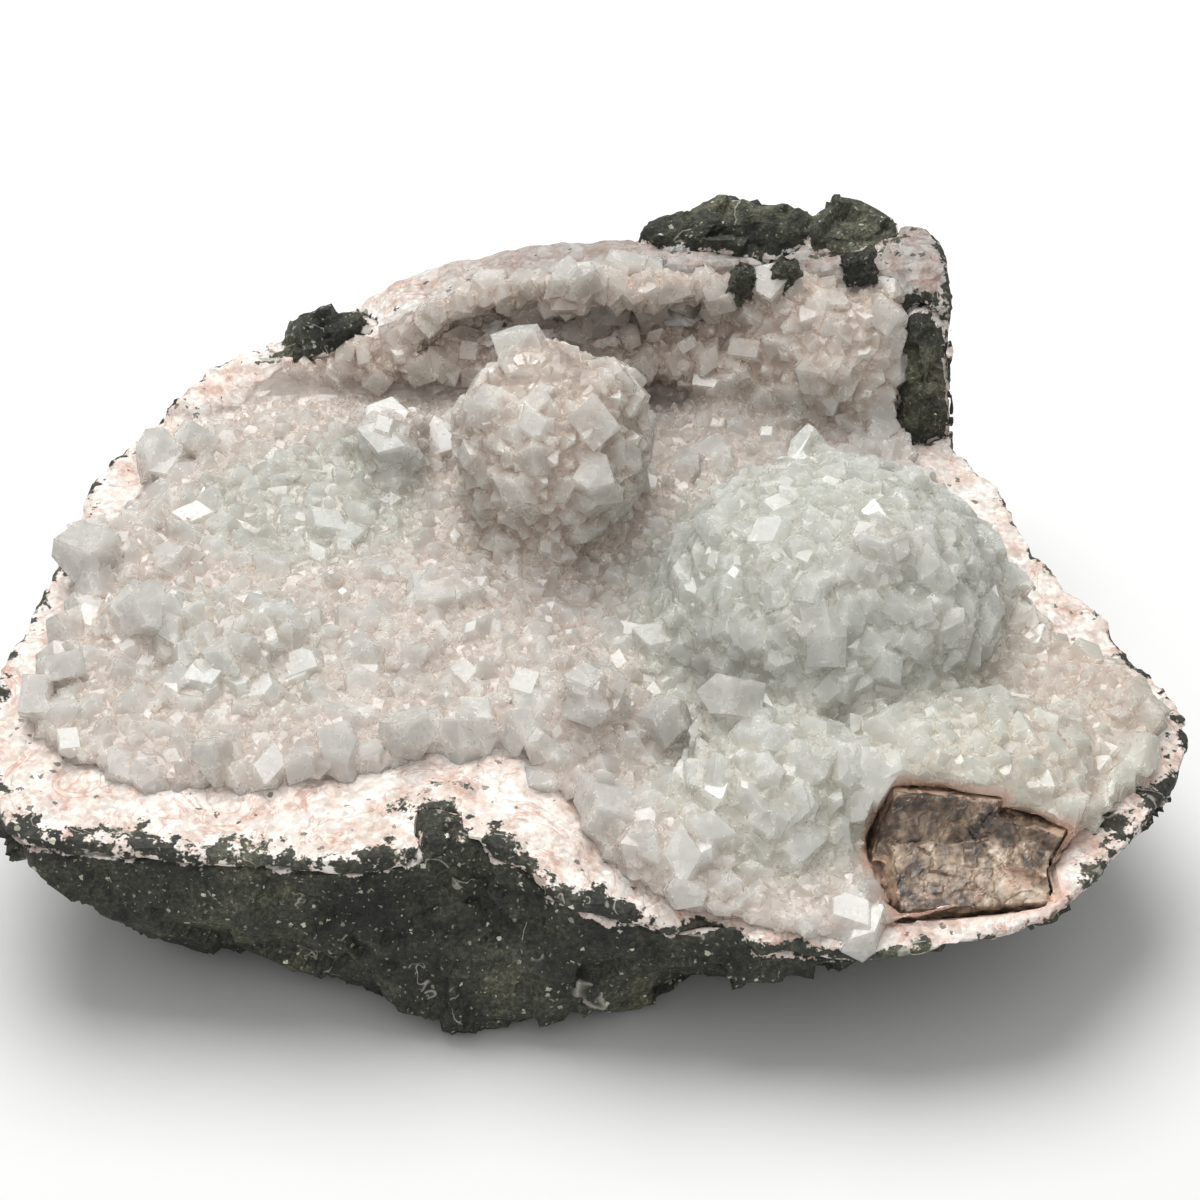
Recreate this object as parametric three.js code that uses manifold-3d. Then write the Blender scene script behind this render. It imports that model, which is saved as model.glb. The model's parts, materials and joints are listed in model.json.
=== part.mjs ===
// A hand-sized geode specimen: dark basalt matrix, a pink rind on it, and over the rind a druse of
// apophyllite crystals with domed clusters, a cleaved brown calcite crystal and three basalt chips.
// Millimetres, +Z up, the open face towards -Y and up. X runs left to right, Y runs front to back.

import * as THREE from 'three';
import { ConvexGeometry } from 'three/addons/geometries/ConvexGeometry.js';
import { LoftGeometry } from 'three/addons/geometries/LoftGeometry.js';
import { mergeVertices } from 'three/addons/utils/BufferGeometryUtils.js';
import Module from 'manifold-3d';

// Layers, measured from the surface that the crystals stand on, down into the rock.
const CRUST_DEPTH = 4.5;
const RIND_DEPTH = 4.5;
const GAP = 0.3;
const SLIVER = 0.12;

// Plan outlines of the rock, anticlockwise from the right: at the foot, at the belt and at the rim.
const FOOT_Z = 0;
const BELT_Z = 22;
const RIM_Z = 40;
const FOOT = [
  [82, 15], [76, 60], [45, 88], [0, 95], [-42, 86], [-78, 62], [-100, 22], [-106, -22],
  [-102, -48], [-84, -57], [-62, -71], [-40, -90], [-10, -87], [22, -76], [56, -56], [78, -20],
];
const BELT = [
  [112, -8], [104, 22], [96, 50], [92, 88], [66, 110], [20, 114], [-30, 107], [-75, 94], [-106, 66],
  [-124, 18], [-130, -32], [-130, -64], [-120, -78], [-92, -78], [-65, -81], [-42, -97], [-10, -96],
  [18, -90], [50, -90], [85, -78], [112, -47],
];
const RIM = [
  [146, -46], [148, -26], [147, -6], [127, 8], [113, 33], [110, 54], [97, 70], [96, 94], [92, 108],
  [76, 118], [56, 123], [30, 123], [0, 119], [-27, 115], [-48, 110], [-68, 108], [-87, 103],
  [-101, 97], [-114, 89], [-126, 73], [-137, 52], [-147, 10], [-151, -40], [-147, -58], [-138, -76],
  [-124, -88], [-102, -88], [-78, -84], [-56, -83], [-38, -79], [-26, -76], [-14, -86], [0, -96],
  [12, -106], [34, -112], [58, -108], [80, -101], [104, -92], [120, -79], [137, -60],
];
// Heights of the rings between them, and how far each ring has gone from one outline to the next.
const LOWER_RINGS = [[FOOT_Z, 0], [6, 0.5], [14, 0.82], [BELT_Z, 1]];
const UPPER_RINGS = [[31, 0.62], [RIM_Z, 1], [56, 1], [78, 1]];
const CEILING = 150;
const SIDE_SEGMENTS = 52;
const SIDE_ROUGHNESS = 3.2;
const SIDE_LUMPS = 26;
const SIDE_GRAIN = { width: 11, height: 9, share: 0.5 };

// Flat spalls where lumps broke off the outside: a point on each face and the way it faces.
const SPALLS = [
  { at: [-134, -58, 30], faces: [-0.78, -0.3, -0.56] },
  { at: [-30, -98, 14], faces: [-0.1, -0.86, -0.5] },
  { at: [-60, -87, 40], faces: [-0.1, -0.97, 0.12] },
  { at: [66, -88, 22], faces: [0.22, -0.6, -0.76] },
  { at: [118, -60, 26], faces: [0.6, -0.5, -0.62] },
  { at: [98, 40, 18], faces: [0.78, 0.2, -0.6] },
  { at: [70, 112, 40], faces: [0.35, 0.93, -0.1] },
  { at: [-30, 108, 34], faces: [-0.12, 0.95, -0.28] },
  { at: [-106, 82, 34], faces: [-0.62, 0.68, -0.38] },
  { at: [-126, 10, 26], faces: [-0.82, 0.12, -0.56] },
];

// The open face: height of the floor along its front edge and its back edge, by X.
const FRONT_HEIGHT = [
  [-170, 62], [-110, 57], [-60, 56], [-30, 58], [0, 48],
  [30, 42], [80, 42], [110, 48], [140, 56], [170, 58],
];
const BACK_HEIGHT = [[-170, 64], [-60, 64], [25, 63], [92, 61], [170, 62]];
const FLOOR_FRONT_Y = -108;
const FLOOR_BACK_Y = 72;
const FLOOR_ROWS = [-170, -122, -98, -74, -50, -26, 0, 26, 50];
const FLOOR_CURVE = 0.75;
const FLOOR_SAG = 5;
const FLOOR_ROUGHNESS = 1.8;
const FLOOR_LUMPS = 23;

// The back wall by X, as [y, z] from the floor's edge up: crevice, bulge, recess, roof and lip.
// Fold is 1 where the lip overhangs and 0 where the wall only slopes.
const WALL = [
  {
    x: -170,
    fold: 0,
    up: [
      [66, 63], [70, 63], [74, 64], [78, 65], [82, 66],
      [86, 67], [90, 68], [94, 69], [98, 70], [106, 72],
    ],
  },
  {
    x: -105,
    fold: 0,
    up: [
      [70, 63], [76, 62], [78, 64], [80, 65], [82, 66],
      [84, 67], [86, 68], [88, 69], [90, 70], [106, 72],
    ],
  },
  {
    x: -85,
    fold: 0,
    up: [
      [79, 64], [85, 62], [86, 64], [85, 67], [85, 69],
      [86, 70], [87, 71], [88, 72], [90, 73], [106, 73],
    ],
  },
  {
    x: -62,
    fold: 0.5,
    up: [
      [80, 64], [91, 60], [88, 66], [80, 70], [79, 73],
      [81, 76], [83, 78], [85, 80], [88, 83], [106, 84],
    ],
  },
  {
    x: -42,
    fold: 1,
    up: [
      [80, 64], [93, 59], [90, 67], [81, 71], [83, 77],
      [97, 80], [93, 86], [84, 88], [87, 94], [106, 94],
    ],
  },
  {
    x: -20,
    fold: 1,
    up: [
      [80, 64], [94, 59], [90, 66], [81, 71], [84, 79],
      [102, 83], [97, 92], [84, 93], [86, 100], [106, 100],
    ],
  },
  {
    x: 25,
    fold: 1,
    up: [
      [78, 63], [92, 58], [89, 66], [81, 71], [83, 79],
      [102, 84], [97, 92], [84, 94], [87, 102], [108, 102],
    ],
  },
  {
    x: 50,
    fold: 0.5,
    up: [
      [74, 62], [86, 58], [84, 65], [76, 69], [78, 78],
      [84, 84], [88, 88], [90, 92], [94, 100], [110, 105],
    ],
  },
  {
    x: 72,
    fold: 0,
    up: [
      [70, 61], [80, 58], [78, 63], [72, 66], [75, 76],
      [80, 83], [84, 89], [87, 94], [92, 101], [110, 105],
    ],
  },
  {
    x: 92,
    fold: 0,
    up: [
      [70, 60], [76, 60], [76, 63], [76, 68], [78, 77],
      [81, 84], [84, 90], [87, 95], [92, 101], [110, 104],
    ],
  },
  {
    x: 170,
    fold: 0,
    up: [
      [66, 60], [70, 62], [74, 64], [78, 67], [82, 70],
      [86, 73], [90, 76], [94, 79], [98, 82], [106, 85],
    ],
  },
];
// Which way the deeper layers shift behind each of those points, [y, z] for each mm of depth.
const SLOPE_INSET = [
  [0, -1], [0.6, -0.9], [0.9, -0.3], [0.9, -0.3], [0.9, -0.35],
  [0.85, -0.4], [0.8, -0.45], [0.7, -0.3], [0.6, -0.55], [0, -0.6],
];
const OVERHANG_INSET = [
  [0, -1], [0.8, -0.8], [0.7, 0.4], [1, 0.2], [1, -0.2],
  [1, 0], [0.9, 0.2], [1.6, 0.2], [1.6, -0.45], [0, -0.4],
];
const FLOOR_INSET = [0, -1];
const BACK_SLOPE = [[132, 78], [185, 40]];
const LID = [[185, 200], [-170, 200]];
const COLUMNS = [-170, -130, -105, -85, -62, -42, -20, 2, 25, 50, 72, 92, 120, 170];
// The top of the basalt is hidden under the rind, so it takes fewer rows and columns.
const HIDDEN_DEPTH = 8;
const HIDDEN_ROWS = [-170, -98, -50, 0, 50];
const HIDDEN_COLUMNS = [-170, -105, -62, -20, 25, 50, 72, 120, 170];

// Mounds that the crystals cover: centre and half-sizes. The larger ones have a core of rind.
const CORE_DEPTH = 7;
const MOUNDS = {
  back_ball: { at: [-13, 38, 80], half: [26, 25, 26], detail: 2, core: true },
  ball_root: { at: [-11, 46, 64], half: [22, 18, 18], detail: 1, core: true },
  big_dome: { at: [59, 2, 53], half: [45, 43, 42], detail: 2, core: true },
  front_cluster: { at: [40, -59, 46], half: [23, 21, 21], detail: 2 },
  right_ridge: { at: [90, -50, 45], half: [37, 24, 19.5], detail: 2 },
  left_mound: { at: [-90, -15, 54], half: [18, 17, 15], detail: 1 },
  crevice_mound: { at: [-55, 60, 62], half: [13, 11, 14], detail: 1 },
  front_mound: { at: [14, -76, 42], half: [20, 17, 15], detail: 1 },
  wall_swell: { at: [62, 86, 78], half: [25, 13, 17], detail: 1 },
};
// Lower swells of the floor: plan centre, plan half-sizes and rise.
const SWELLS = [
  { at: [-71, 42], half: [26, 20], rise: 8 },
  { at: [-8, -22], half: [32, 22], rise: 7 },
  { at: [-45, 2], half: [28, 20], rise: 6 },
  { at: [121, -28], half: [19, 22], rise: 6 },
  { at: [-122, -18], half: [16, 24], rise: 5 },
];
const SWELL_FALL = 2;
const MOUND_LUMPS = { depth: 0.07, count: 2.4 };

// Plan outline of the druse, inside the rim, so that the bare rind shows as a band around it.
const DRUSE_EDGE = [
  [141, -46], [139, -28], [132, -14], [112, -4], [102, 28], [97, 46], [86, 64], [82, 100], [74, 109],
  [-50, 109], [-66, 97], [-90, 90], [-104, 80], [-117, 62], [-127, 44], [-137, 8], [-142, -38],
  [-134, -52], [-116, -62], [-92, -64], [-66, -60], [-44, -54], [-26, -44], [-12, -58], [2, -82],
  [16, -94], [36, -99], [58, -98], [80, -95], [101, -86], [116, -73], [131, -57],
];
const DRUSE_SEGMENTS = 48;
const DRUSE_FOOT_Z = 20;
const DRUSE_WAVER = { depth: 1.6, width: 8 };
// The lip's top is bare of crystals behind its front edge, between these columns.
const LIP_ROW = 8;
const LIP_COLUMNS = [-80, -62, -42, -20, 25, 50, 72, 92, 112];
const LIP_BARE = { behind: 2, depth: 4 };
// The rind ends here, a little inside the back of the rock.
const RIND_BACK_Y = 113;

// Lumps of basalt that stand out through the rind.
const OUTCROPS = [
  { at: [36, 110, 98], half: [24, 10, 11], seed: 3 },
  { at: [68, 109, 97], half: [15, 9, 10], seed: 8 },
  { at: [-72, 98, 74], half: [15, 10, 8], seed: 21 },
  { at: [91, 95, 56], half: [12, 23, 38], seed: 13 },
  { at: [-37, -77, 44], half: [12, 13, 12.5], seed: 34 },
  { at: [26, -101, 33], half: [14, 9, 9], seed: 55 },
];
const LUMP_CORNERS = 26;
const LUMP_SPREAD = 1.12;
const CHIPS = {
  basalt_chip_left: { at: [38, 88, 97.5], size: [7, 6, 11], lean: 28 },
  basalt_chip_middle: { at: [48.5, 88.5, 99], size: [6.5, 6, 12], lean: 32 },
  basalt_chip_right: { at: [70, 92, 100], size: [9, 6, 8], lean: -12 },
};
const CHIP_LUMPS = { depth: 0.09, rows: 5, lengthwise: 0.4 };

// The cleaved calcite crystal: rhomb-shaped blocks that meet in steps, a broad one in front of two
// steep ones, and a small one on the step. Turns are in degrees about X, Y and Z.
const CALCITE_BLOCKS = [
  { at: [86, -81.1, 41.7], size: [36, 17, 8], turn: [20, 2, 4] },
  { at: [79, -66.8, 46.5], size: [25, 13, 17], turn: [-27, 4, 5] },
  { at: [98, -69.8, 43.5], size: [20, 13, 15], turn: [-20, 10, -20] },
  { at: [100, -78.5, 45], size: [9, 8, 7], turn: [14, 8, -20] },
];
const CALCITE_SHEAR = 0.3;

// The larger crystals of the druse, placed at random, and the few that stand out.
const CRYSTAL_SEED = 77;
const CRYSTAL_COUNT = 44;
const CRYSTAL_TRIES = 9000;
const CRYSTAL_SPACING = 11.5;
const CRYSTAL_WIDTH = [8, 14];
const CRYSTAL_HEIGHT = [0.45, 0.85];
const CRYSTAL_LEAN = 0.9;
const CRYSTAL_ROOT = 4;
const SMALL_SHARE = 1.5;
const BLUNT = { share: 0.5, tip: 0.35, drop: 0.4 };
const LANDMARK_CRYSTALS = [
  { at: [30, -44, 60], towards: [-0.25, -0.1, 1], width: 11, height: 17 },
  { at: [-16, 42, 101], towards: [-0.1, 0.1, 1], width: 15, height: 12 },
  { at: [2, 38, 99], towards: [0.5, 0, 1], width: 11, height: 11 },
  { at: [-56, 54, 68], towards: [-0.1, -0.5, 1], width: 17, height: 14 },
  { at: [-118, -8, 59], towards: [-0.2, -0.3, 1], width: 16, height: 12 },
  { at: [-106, -8, 59], towards: [0.3, -0.3, 1], width: 13, height: 11 },
  { at: [-2, -38, 60], towards: [0, -0.4, 1], width: 15, height: 12 },
  { at: [16, -42, 58], towards: [0.2, -0.4, 1], width: 11, height: 10 },
];
const SHOULDER = 0.5;
const TAPER = 0.9;
const TWIST = 0.4;
// Crystals stand above this height, this far inside the druse's edge, and not on steep undersides.
const OPEN_FACE = { lowest: 36, inset: 3, down: -0.5, wallY: 60 };

const WELD = 1e-4;
const FAR = 400;

const wasm = await Module();
wasm.setup();

// A repeatable stream of random numbers from 0 to 1.
function randomFrom(seed) {
  let state = seed;
  return () => {
    state = (state + 0x6d2b79f5) | 0;
    let t = Math.imul(state ^ (state >>> 15), 1 | state);
    t = (t + Math.imul(t ^ (t >>> 7), 61 | t)) ^ t;
    return ((t ^ (t >>> 14)) >>> 0) / 4294967296;
  };
}

// A repeatable random number from -1 to 1 for each corner of a grid.
function cornerValue(ix, iy, iz) {
  let h = Math.imul(ix, 374761393) + Math.imul(iy, 668265263) + Math.imul(iz, 2147483647 ^ 48271);
  h = Math.imul(h ^ (h >>> 13), 1274126177);
  return ((h ^ (h >>> 16)) >>> 0) / 2147483648 - 1;
}

// Smooth noise from -1 to 1, with lumps about one unit wide.
function noise(x, y, z) {
  const [ix, iy, iz] = [Math.floor(x), Math.floor(y), Math.floor(z)];
  const [fx, fy, fz] = [x - ix, y - iy, z - iz].map((t) => t * t * (3 - 2 * t));
  const mix = THREE.MathUtils.lerp;
  const value = (dx, dy, dz) => cornerValue(ix + dx, iy + dy, iz + dz);
  const edge = (dy, dz) => mix(value(0, dy, dz), value(1, dy, dz), fx);
  return mix(mix(edge(0, 0), edge(1, 0), fy), mix(edge(0, 1), edge(1, 1), fy), fz);
}

// A value read along a list of [position, value, ...] stations, eased between them.
function along(stations, x, value = (s) => s[1], position = (s) => s[0]) {
  let i = 0;
  while (i < stations.length - 2 && position(stations[i + 1]) < x) i++;
  const [a, b] = [stations[i], stations[i + 1]];
  const t = THREE.MathUtils.smoothstep(x, position(a), position(b));
  return THREE.MathUtils.lerp(value(a), value(b), t);
}

// How far a closed plan outline reaches from the origin at an angle.
function reach(outline, angle) {
  const [dx, dy] = [Math.cos(angle), Math.sin(angle)];
  let furthest = 0;
  outline.forEach(([ax, ay], i) => {
    const [bx, by] = outline[(i + 1) % outline.length];
    const [ex, ey] = [bx - ax, by - ay];
    const cross = dx * ey - dy * ex;
    const distance = (ax * ey - ay * ex) / cross;
    const share = (ax * dy - ay * dx) / cross;
    if (distance > 0 && share >= 0 && share <= 1) furthest = Math.max(furthest, distance);
  });
  return furthest;
}

// A closed geometry as a solid that can be joined and cut.
function solid(geometry) {
  const bare = new THREE.BufferGeometry();
  bare.setAttribute('position', geometry.getAttribute('position'));
  bare.setIndex(geometry.getIndex());
  const merged = mergeVertices(bare, WELD);
  return new wasm.Manifold(new wasm.Mesh({
    numProp: 3,
    vertProperties: merged.attributes.position.array,
    triVerts: new Uint32Array(merged.index.array),
  }));
}

// The largest body of a shape, without the crumbs that a cut leaves.
function largest(shape) {
  return shape.decompose().sort((a, b) => b.volume() - a.volume())[0];
}

// A solid through rings at rising heights, each with its radius by angle.
function ringSolid(rings, segments, rough) {
  const sections = rings.map(({ radiusAt, z }) => Array.from({ length: segments }, (_, i) => {
    const angle = (i / segments) * 2 * Math.PI;
    const radius = radiusAt(angle);
    const [x, y] = [radius * Math.cos(angle), radius * Math.sin(angle)];
    const push = 1 + rough(x, y, z) / radius;
    return new THREE.Vector3(x * push, y * push, z);
  }));
  return solid(new LoftGeometry(sections, { capStart: true, capEnd: true }));
}

// The whole rock up to the ceiling, before the open face is cut into it.
function rock() {
  const blended = (a, b) => ([z, share]) => ({
    z,
    radiusAt: (angle) => THREE.MathUtils.lerp(reach(a, angle), reach(b, angle), share),
  });
  const rings = [
    ...LOWER_RINGS.map(blended(FOOT, BELT)),
    ...[...UPPER_RINGS, [CEILING, 1]].map(blended(BELT, RIM)),
  ];
  const rough = (x, y, z) => {
    const lumps = noise(x / SIDE_LUMPS, y / SIDE_LUMPS, z / SIDE_LUMPS);
    const grain = noise(x / SIDE_GRAIN.width, y / SIDE_GRAIN.width, z / SIDE_GRAIN.height);
    return SIDE_ROUGHNESS * (lumps + SIDE_GRAIN.share * grain);
  };
  const whole = ringSolid(rings, SIDE_SEGMENTS, rough);
  return SPALLS.reduce((block, { at, faces }) => block.subtract(beyond(at, faces)), whole);
}

// Everything on the far side of a plane, as one large box.
function beyond(at, faces) {
  const box = new THREE.BoxGeometry(FAR, FAR, FAR).translate(0, 0, FAR / 2);
  const turn = new THREE.Quaternion().setFromUnitVectors(
    new THREE.Vector3(0, 0, 1), new THREE.Vector3(...faces).normalize());
  return solid(box.applyQuaternion(turn).translate(...at));
}

// Height of the open face's floor: a sagging slope with low swells.
function floorHeight(x, y) {
  const share = THREE.MathUtils.clamp((y - FLOOR_FRONT_Y) / (FLOOR_BACK_Y - FLOOR_FRONT_Y), 0, 1);
  const [front, back] = [along(FRONT_HEIGHT, x), along(BACK_HEIGHT, x)];
  const slope = THREE.MathUtils.lerp(front, back, share ** FLOOR_CURVE);
  const rise = SWELLS.reduce((sum, swell) => {
    const [u, v] = [(x - swell.at[0]) / swell.half[0], (y - swell.at[1]) / swell.half[1]];
    return sum + swell.rise * Math.exp(-SWELL_FALL * (u * u + v * v));
  }, 0);
  const rough = FLOOR_ROUGHNESS * noise(x / FLOOR_LUMPS, y / FLOOR_LUMPS, 0.5);
  return slope + rise - FLOOR_SAG * Math.sin(Math.PI * share) + rough;
}

// A wall point [y, z] at any X, and how far the lip folds over there.
const station = (x, value) => along(WALL, x, value, (s) => s.x);
const wallPoint = (x, row) => [0, 1].map((k) => station(x, (s) => s.up[row][k]));

// The air over the open face, grown down and back into the rock by a depth.
function air(depth) {
  const isHidden = depth > HIDDEN_DEPTH;
  const rows = isHidden ? HIDDEN_ROWS : FLOOR_ROWS;
  const sections = (isHidden ? HIDDEN_COLUMNS : COLUMNS).map((x) => {
    const fold = station(x, (s) => s.fold);
    const inset = ([y, z], [dy, dz]) => new THREE.Vector3(x, y + depth * dy, z + depth * dz);
    const blend = (row, k) => THREE.MathUtils.lerp(SLOPE_INSET[row][k], OVERHANG_INSET[row][k], fold);
    return [
      ...rows.map((y) => inset([y, floorHeight(x, y)], FLOOR_INSET)),
      ...SLOPE_INSET.map((_, row) => inset(wallPoint(x, row), [blend(row, 0), blend(row, 1)])),
      ...BACK_SLOPE.map((point) => inset(point, FLOOR_INSET)),
      ...LID.map(([y, z]) => new THREE.Vector3(x, y, z)),
    ];
  });
  return solid(new LoftGeometry(sections, { capStart: true, capEnd: true }));
}

// The space over the lip's top, down to the rind.
function overLip() {
  const sections = LIP_COLUMNS.map((x) => {
    const [frontY, frontZ] = wallPoint(x, LIP_ROW);
    const backZ = wallPoint(x, LIP_ROW + 1)[1];
    return [
      [frontY + LIP_BARE.behind, frontZ - LIP_BARE.depth],
      [CEILING, backZ - LIP_BARE.depth],
      [CEILING, CEILING],
      [frontY + LIP_BARE.behind, CEILING],
    ].map(([y, z]) => new THREE.Vector3(x, y, z));
  });
  return solid(new LoftGeometry(sections, { capStart: true, capEnd: true }));
}

// A mound of the druse, or its core when it is shrunk by a depth.
function mound({ at, half, detail }, depth) {
  const scale = 1 - depth / Math.min(...half);
  const ball = new THREE.IcosahedronGeometry(1, depth > 0 ? 1 : detail);
  const p = ball.getAttribute('position');
  for (let i = 0; i < p.count; i++) {
    const unit = new THREE.Vector3().fromBufferAttribute(p, i);
    const { x, y, z } = unit.clone().multiplyScalar(MOUND_LUMPS.count);
    const size = scale * (1 + MOUND_LUMPS.depth * noise(x + at[0], y, z));
    p.setXYZ(i, ...half.map((h, k) => unit.getComponent(k) * h * size + at[k]));
  }
  return solid(ball);
}

// A broken lump of stone: the hull of points scattered over an ellipsoid.
function lump({ at, half, seed }, grow) {
  const random = randomFrom(seed);
  const scale = LUMP_SPREAD * (1 + grow / Math.min(...half));
  const points = Array.from({ length: LUMP_CORNERS }, () => {
    const v = new THREE.Vector3(random() - 0.5, random() - 0.5, random() - 0.5).normalize();
    return v.set(...half.map((h, k) => v.getComponent(k) * h * scale + at[k]));
  });
  return solid(new ConvexGeometry(points));
}

// Everything within the druse's plan outline.
function druseColumn() {
  const radiusAt = (angle) => reach(DRUSE_EDGE, angle);
  const rings = [DRUSE_FOOT_Z, CEILING].map((z) => ({ z, radiusAt }));
  const waver = (x, y) => DRUSE_WAVER.depth * noise(x / DRUSE_WAVER.width, y / DRUSE_WAVER.width, 0.5);
  return ringSolid(rings, DRUSE_SEGMENTS, waver);
}

// A broken chip of basalt, a box with uneven sides, grown on every side.
function chip({ at, size, lean }, grow) {
  const shape = new THREE.BoxGeometry(...size.map((v) => v + 2 * grow), 2, 1, 3);
  const p = shape.getAttribute('position');
  for (let i = 0; i < p.count; i++) {
    const [x, y, z] = [p.getX(i), p.getY(i), p.getZ(i)];
    const place = [Math.sign(x) * 3 + at[0], Math.sign(y) * 2, (z / size[2]) * CHIP_LUMPS.rows];
    const wave = CHIP_LUMPS.depth * noise(...place);
    p.setXYZ(i, x * (1 + wave), y * (1 + wave), z * (1 + wave * CHIP_LUMPS.lengthwise));
  }
  return solid(shape.rotateY(THREE.MathUtils.degToRad(lean)).translate(...at));
}

// The calcite crystal, grown on every side.
function calcite(grow) {
  const shear = new THREE.Matrix4().makeShear(0, 0, 0, 0, CALCITE_SHEAR, 0);
  return wasm.Manifold.union(CALCITE_BLOCKS.map(({ at, size, turn }) => {
    const angles = new THREE.Euler(...turn.map(THREE.MathUtils.degToRad));
    const place = new THREE.Matrix4().makeRotationFromEuler(angles).setPosition(...at);
    const box = new THREE.BoxGeometry(...size.map((v) => v + 2 * grow));
    return solid(box.applyMatrix4(shear).applyMatrix4(place));
  }));
}

// One tetragonal crystal: a square prism under a four-sided pyramid, sharp or cut off flat.
function crystal({ at, towards, width, height, spin = TWIST, blunt = 0 }) {
  const corner = width / Math.SQRT2;
  const ring = (radius, z) => [0, 1, 2, 3].map((k) => {
    const angle = spin + (k * Math.PI) / 2;
    return new THREE.Vector3(radius * Math.cos(angle), radius * Math.sin(angle), z);
  });
  const points = [
    ...ring(corner * TAPER, -CRYSTAL_ROOT),
    ...ring(corner, height * SHOULDER),
    ...(blunt > 0 ? ring(corner * blunt, height * (1 - BLUNT.drop * blunt)) : ring(0, height).slice(0, 1)),
  ];
  const turn = new THREE.Quaternion().setFromUnitVectors(
    new THREE.Vector3(0, 0, 1), new THREE.Vector3(...towards).normalize());
  return solid(new ConvexGeometry(points).applyQuaternion(turn).translate(...at));
}

// The faces of a solid's skin that pass a test, each with the area summed up to it.
function skinFaces(skin, inside) {
  const { numProp, vertProperties, triVerts } = skin.getMesh();
  const corner = (k) => new THREE.Vector3(...vertProperties.slice(numProp * k, numProp * k + 3));
  const faces = [];
  let area = 0;
  for (let i = 0; i < triVerts.length; i += 3) {
    const face = new THREE.Triangle(...[0, 1, 2].map((k) => corner(triVerts[i + k])));
    const normal = face.getNormal(new THREE.Vector3());
    if (!inside(face.getMidpoint(new THREE.Vector3()), normal)) continue;
    area += face.getArea();
    faces.push({ face, normal, upTo: area });
  }
  return faces;
}

// Random crystals over the part of a solid's skin that passes a test, no two too close.
function druseCrystals(skin, inside) {
  const faces = skinFaces(skin, inside);
  const area = faces[faces.length - 1].upTo;
  const random = randomFrom(CRYSTAL_SEED);
  const placed = [];
  const taken = LANDMARK_CRYSTALS.map(({ at }) => new THREE.Vector3(...at));
  for (let tries = 0; tries < CRYSTAL_TRIES && placed.length < CRYSTAL_COUNT; tries++) {
    const target = random() * area;
    const { face, normal } = faces.find(({ upTo }) => upTo >= target);
    let [u, v] = [random(), random()];
    if (u + v > 1) [u, v] = [1 - u, 1 - v];
    const at = face.a.clone()
      .addScaledVector(face.b.clone().sub(face.a), u)
      .addScaledVector(face.c.clone().sub(face.a), v);
    if (taken.some((other) => other.distanceTo(at) < CRYSTAL_SPACING)) continue;
    taken.push(at);
    const lean = new THREE.Vector3(random() - 0.5, random() - 0.5, random() - 0.5);
    const width = THREE.MathUtils.lerp(...CRYSTAL_WIDTH, random() ** SMALL_SHARE);
    placed.push({
      at: at.toArray(),
      towards: normal.clone().addScaledVector(lean, CRYSTAL_LEAN).toArray(),
      width,
      height: width * THREE.MathUtils.lerp(...CRYSTAL_HEIGHT, random()),
      spin: random() * Math.PI,
      blunt: random() < BLUNT.share ? BLUNT.tip : 0,
    });
  }
  return placed;
}

const unionOf = (shapes) => wasm.Manifold.union(shapes);
const calciteSolid = calcite(0);
const fitsAround = [calcite(GAP), ...Object.values(CHIPS).map((c) => chip(c, GAP))];
const clearOf = (shape, ...others) => [...others, ...fitsAround].reduce(
  (rest, other) => rest.subtract(other), shape);

// Each layer fills the space between its own top and the top of the layer under it, less the gap.
const body = rock();
const cored = Object.values(MOUNDS).filter((m) => m.core);
const cores = (depth) => unionOf(cored.map((m) => mound(m, depth)));
const outcrops = (grow) => unionOf(OUTCROPS.map((outcrop) => lump(outcrop, grow)));
const aboveBasalt = (gap) => air(CRUST_DEPTH + RIND_DEPTH - gap).subtract(outcrops(gap));
const aboveRind = (gap) => air(CRUST_DEPTH - gap).subtract(cores(CORE_DEPTH - gap));
const behindRind = beyond([0, RIND_BACK_Y, 0], [0, 1, 0]);
const basaltSolid = clearOf(body.subtract(aboveBasalt(0)));
const rindSolid = clearOf(body.intersect(aboveBasalt(GAP)), aboveRind(0), behindRind);

const druse = druseColumn();
const mounds = unionOf(Object.values(MOUNDS).map((m) => mound(m, 0)));
const growth = druse.subtract(air(0)).add(mounds.intersect(druse));
const isOpenFace = (at, normal) => {
  const edge = reach(DRUSE_EDGE, Math.atan2(at.y, at.x));
  const [lipY, lipZ] = wallPoint(at.x, LIP_ROW);
  const isOnLip = at.y > lipY && at.z > lipZ - LIP_BARE.depth;
  const isUnder = normal.z <= OPEN_FACE.down && at.y <= OPEN_FACE.wallY;
  const isInside = at.z > OPEN_FACE.lowest && Math.hypot(at.x, at.y) < edge - OPEN_FACE.inset;
  return isInside && !isOnLip && !isUnder;
};
const crystals = [...LANDMARK_CRYSTALS, ...druseCrystals(growth, isOpenFace)];
const crust = unionOf([growth, ...crystals.map(crystal)]);
const bed = aboveBasalt(GAP).intersect(aboveRind(GAP));
const druseSolid = clearOf(crust.intersect(bed), overLip());

// A solid as a geometry with an index.
function geometryOf(shape) {
  const { vertProperties, triVerts } = shape.getMesh();
  const geometry = new THREE.BufferGeometry();
  geometry.setAttribute('position', new THREE.BufferAttribute(vertProperties, 3));
  geometry.setIndex(new THREE.BufferAttribute(triVerts, 1));
  return geometry;
}

// A cut shape as one named mesh, without the slivers that the cuts leave.
function meshOf(name, shape, color, roughness) {
  const geometry = geometryOf(largest(shape.simplify(SLIVER)));
  geometry.computeVertexNormals();
  const material = new THREE.MeshStandardMaterial({ color, roughness, flatShading: true });
  const mesh = new THREE.Mesh(geometry, material);
  mesh.name = name;
  return mesh;
}

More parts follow.
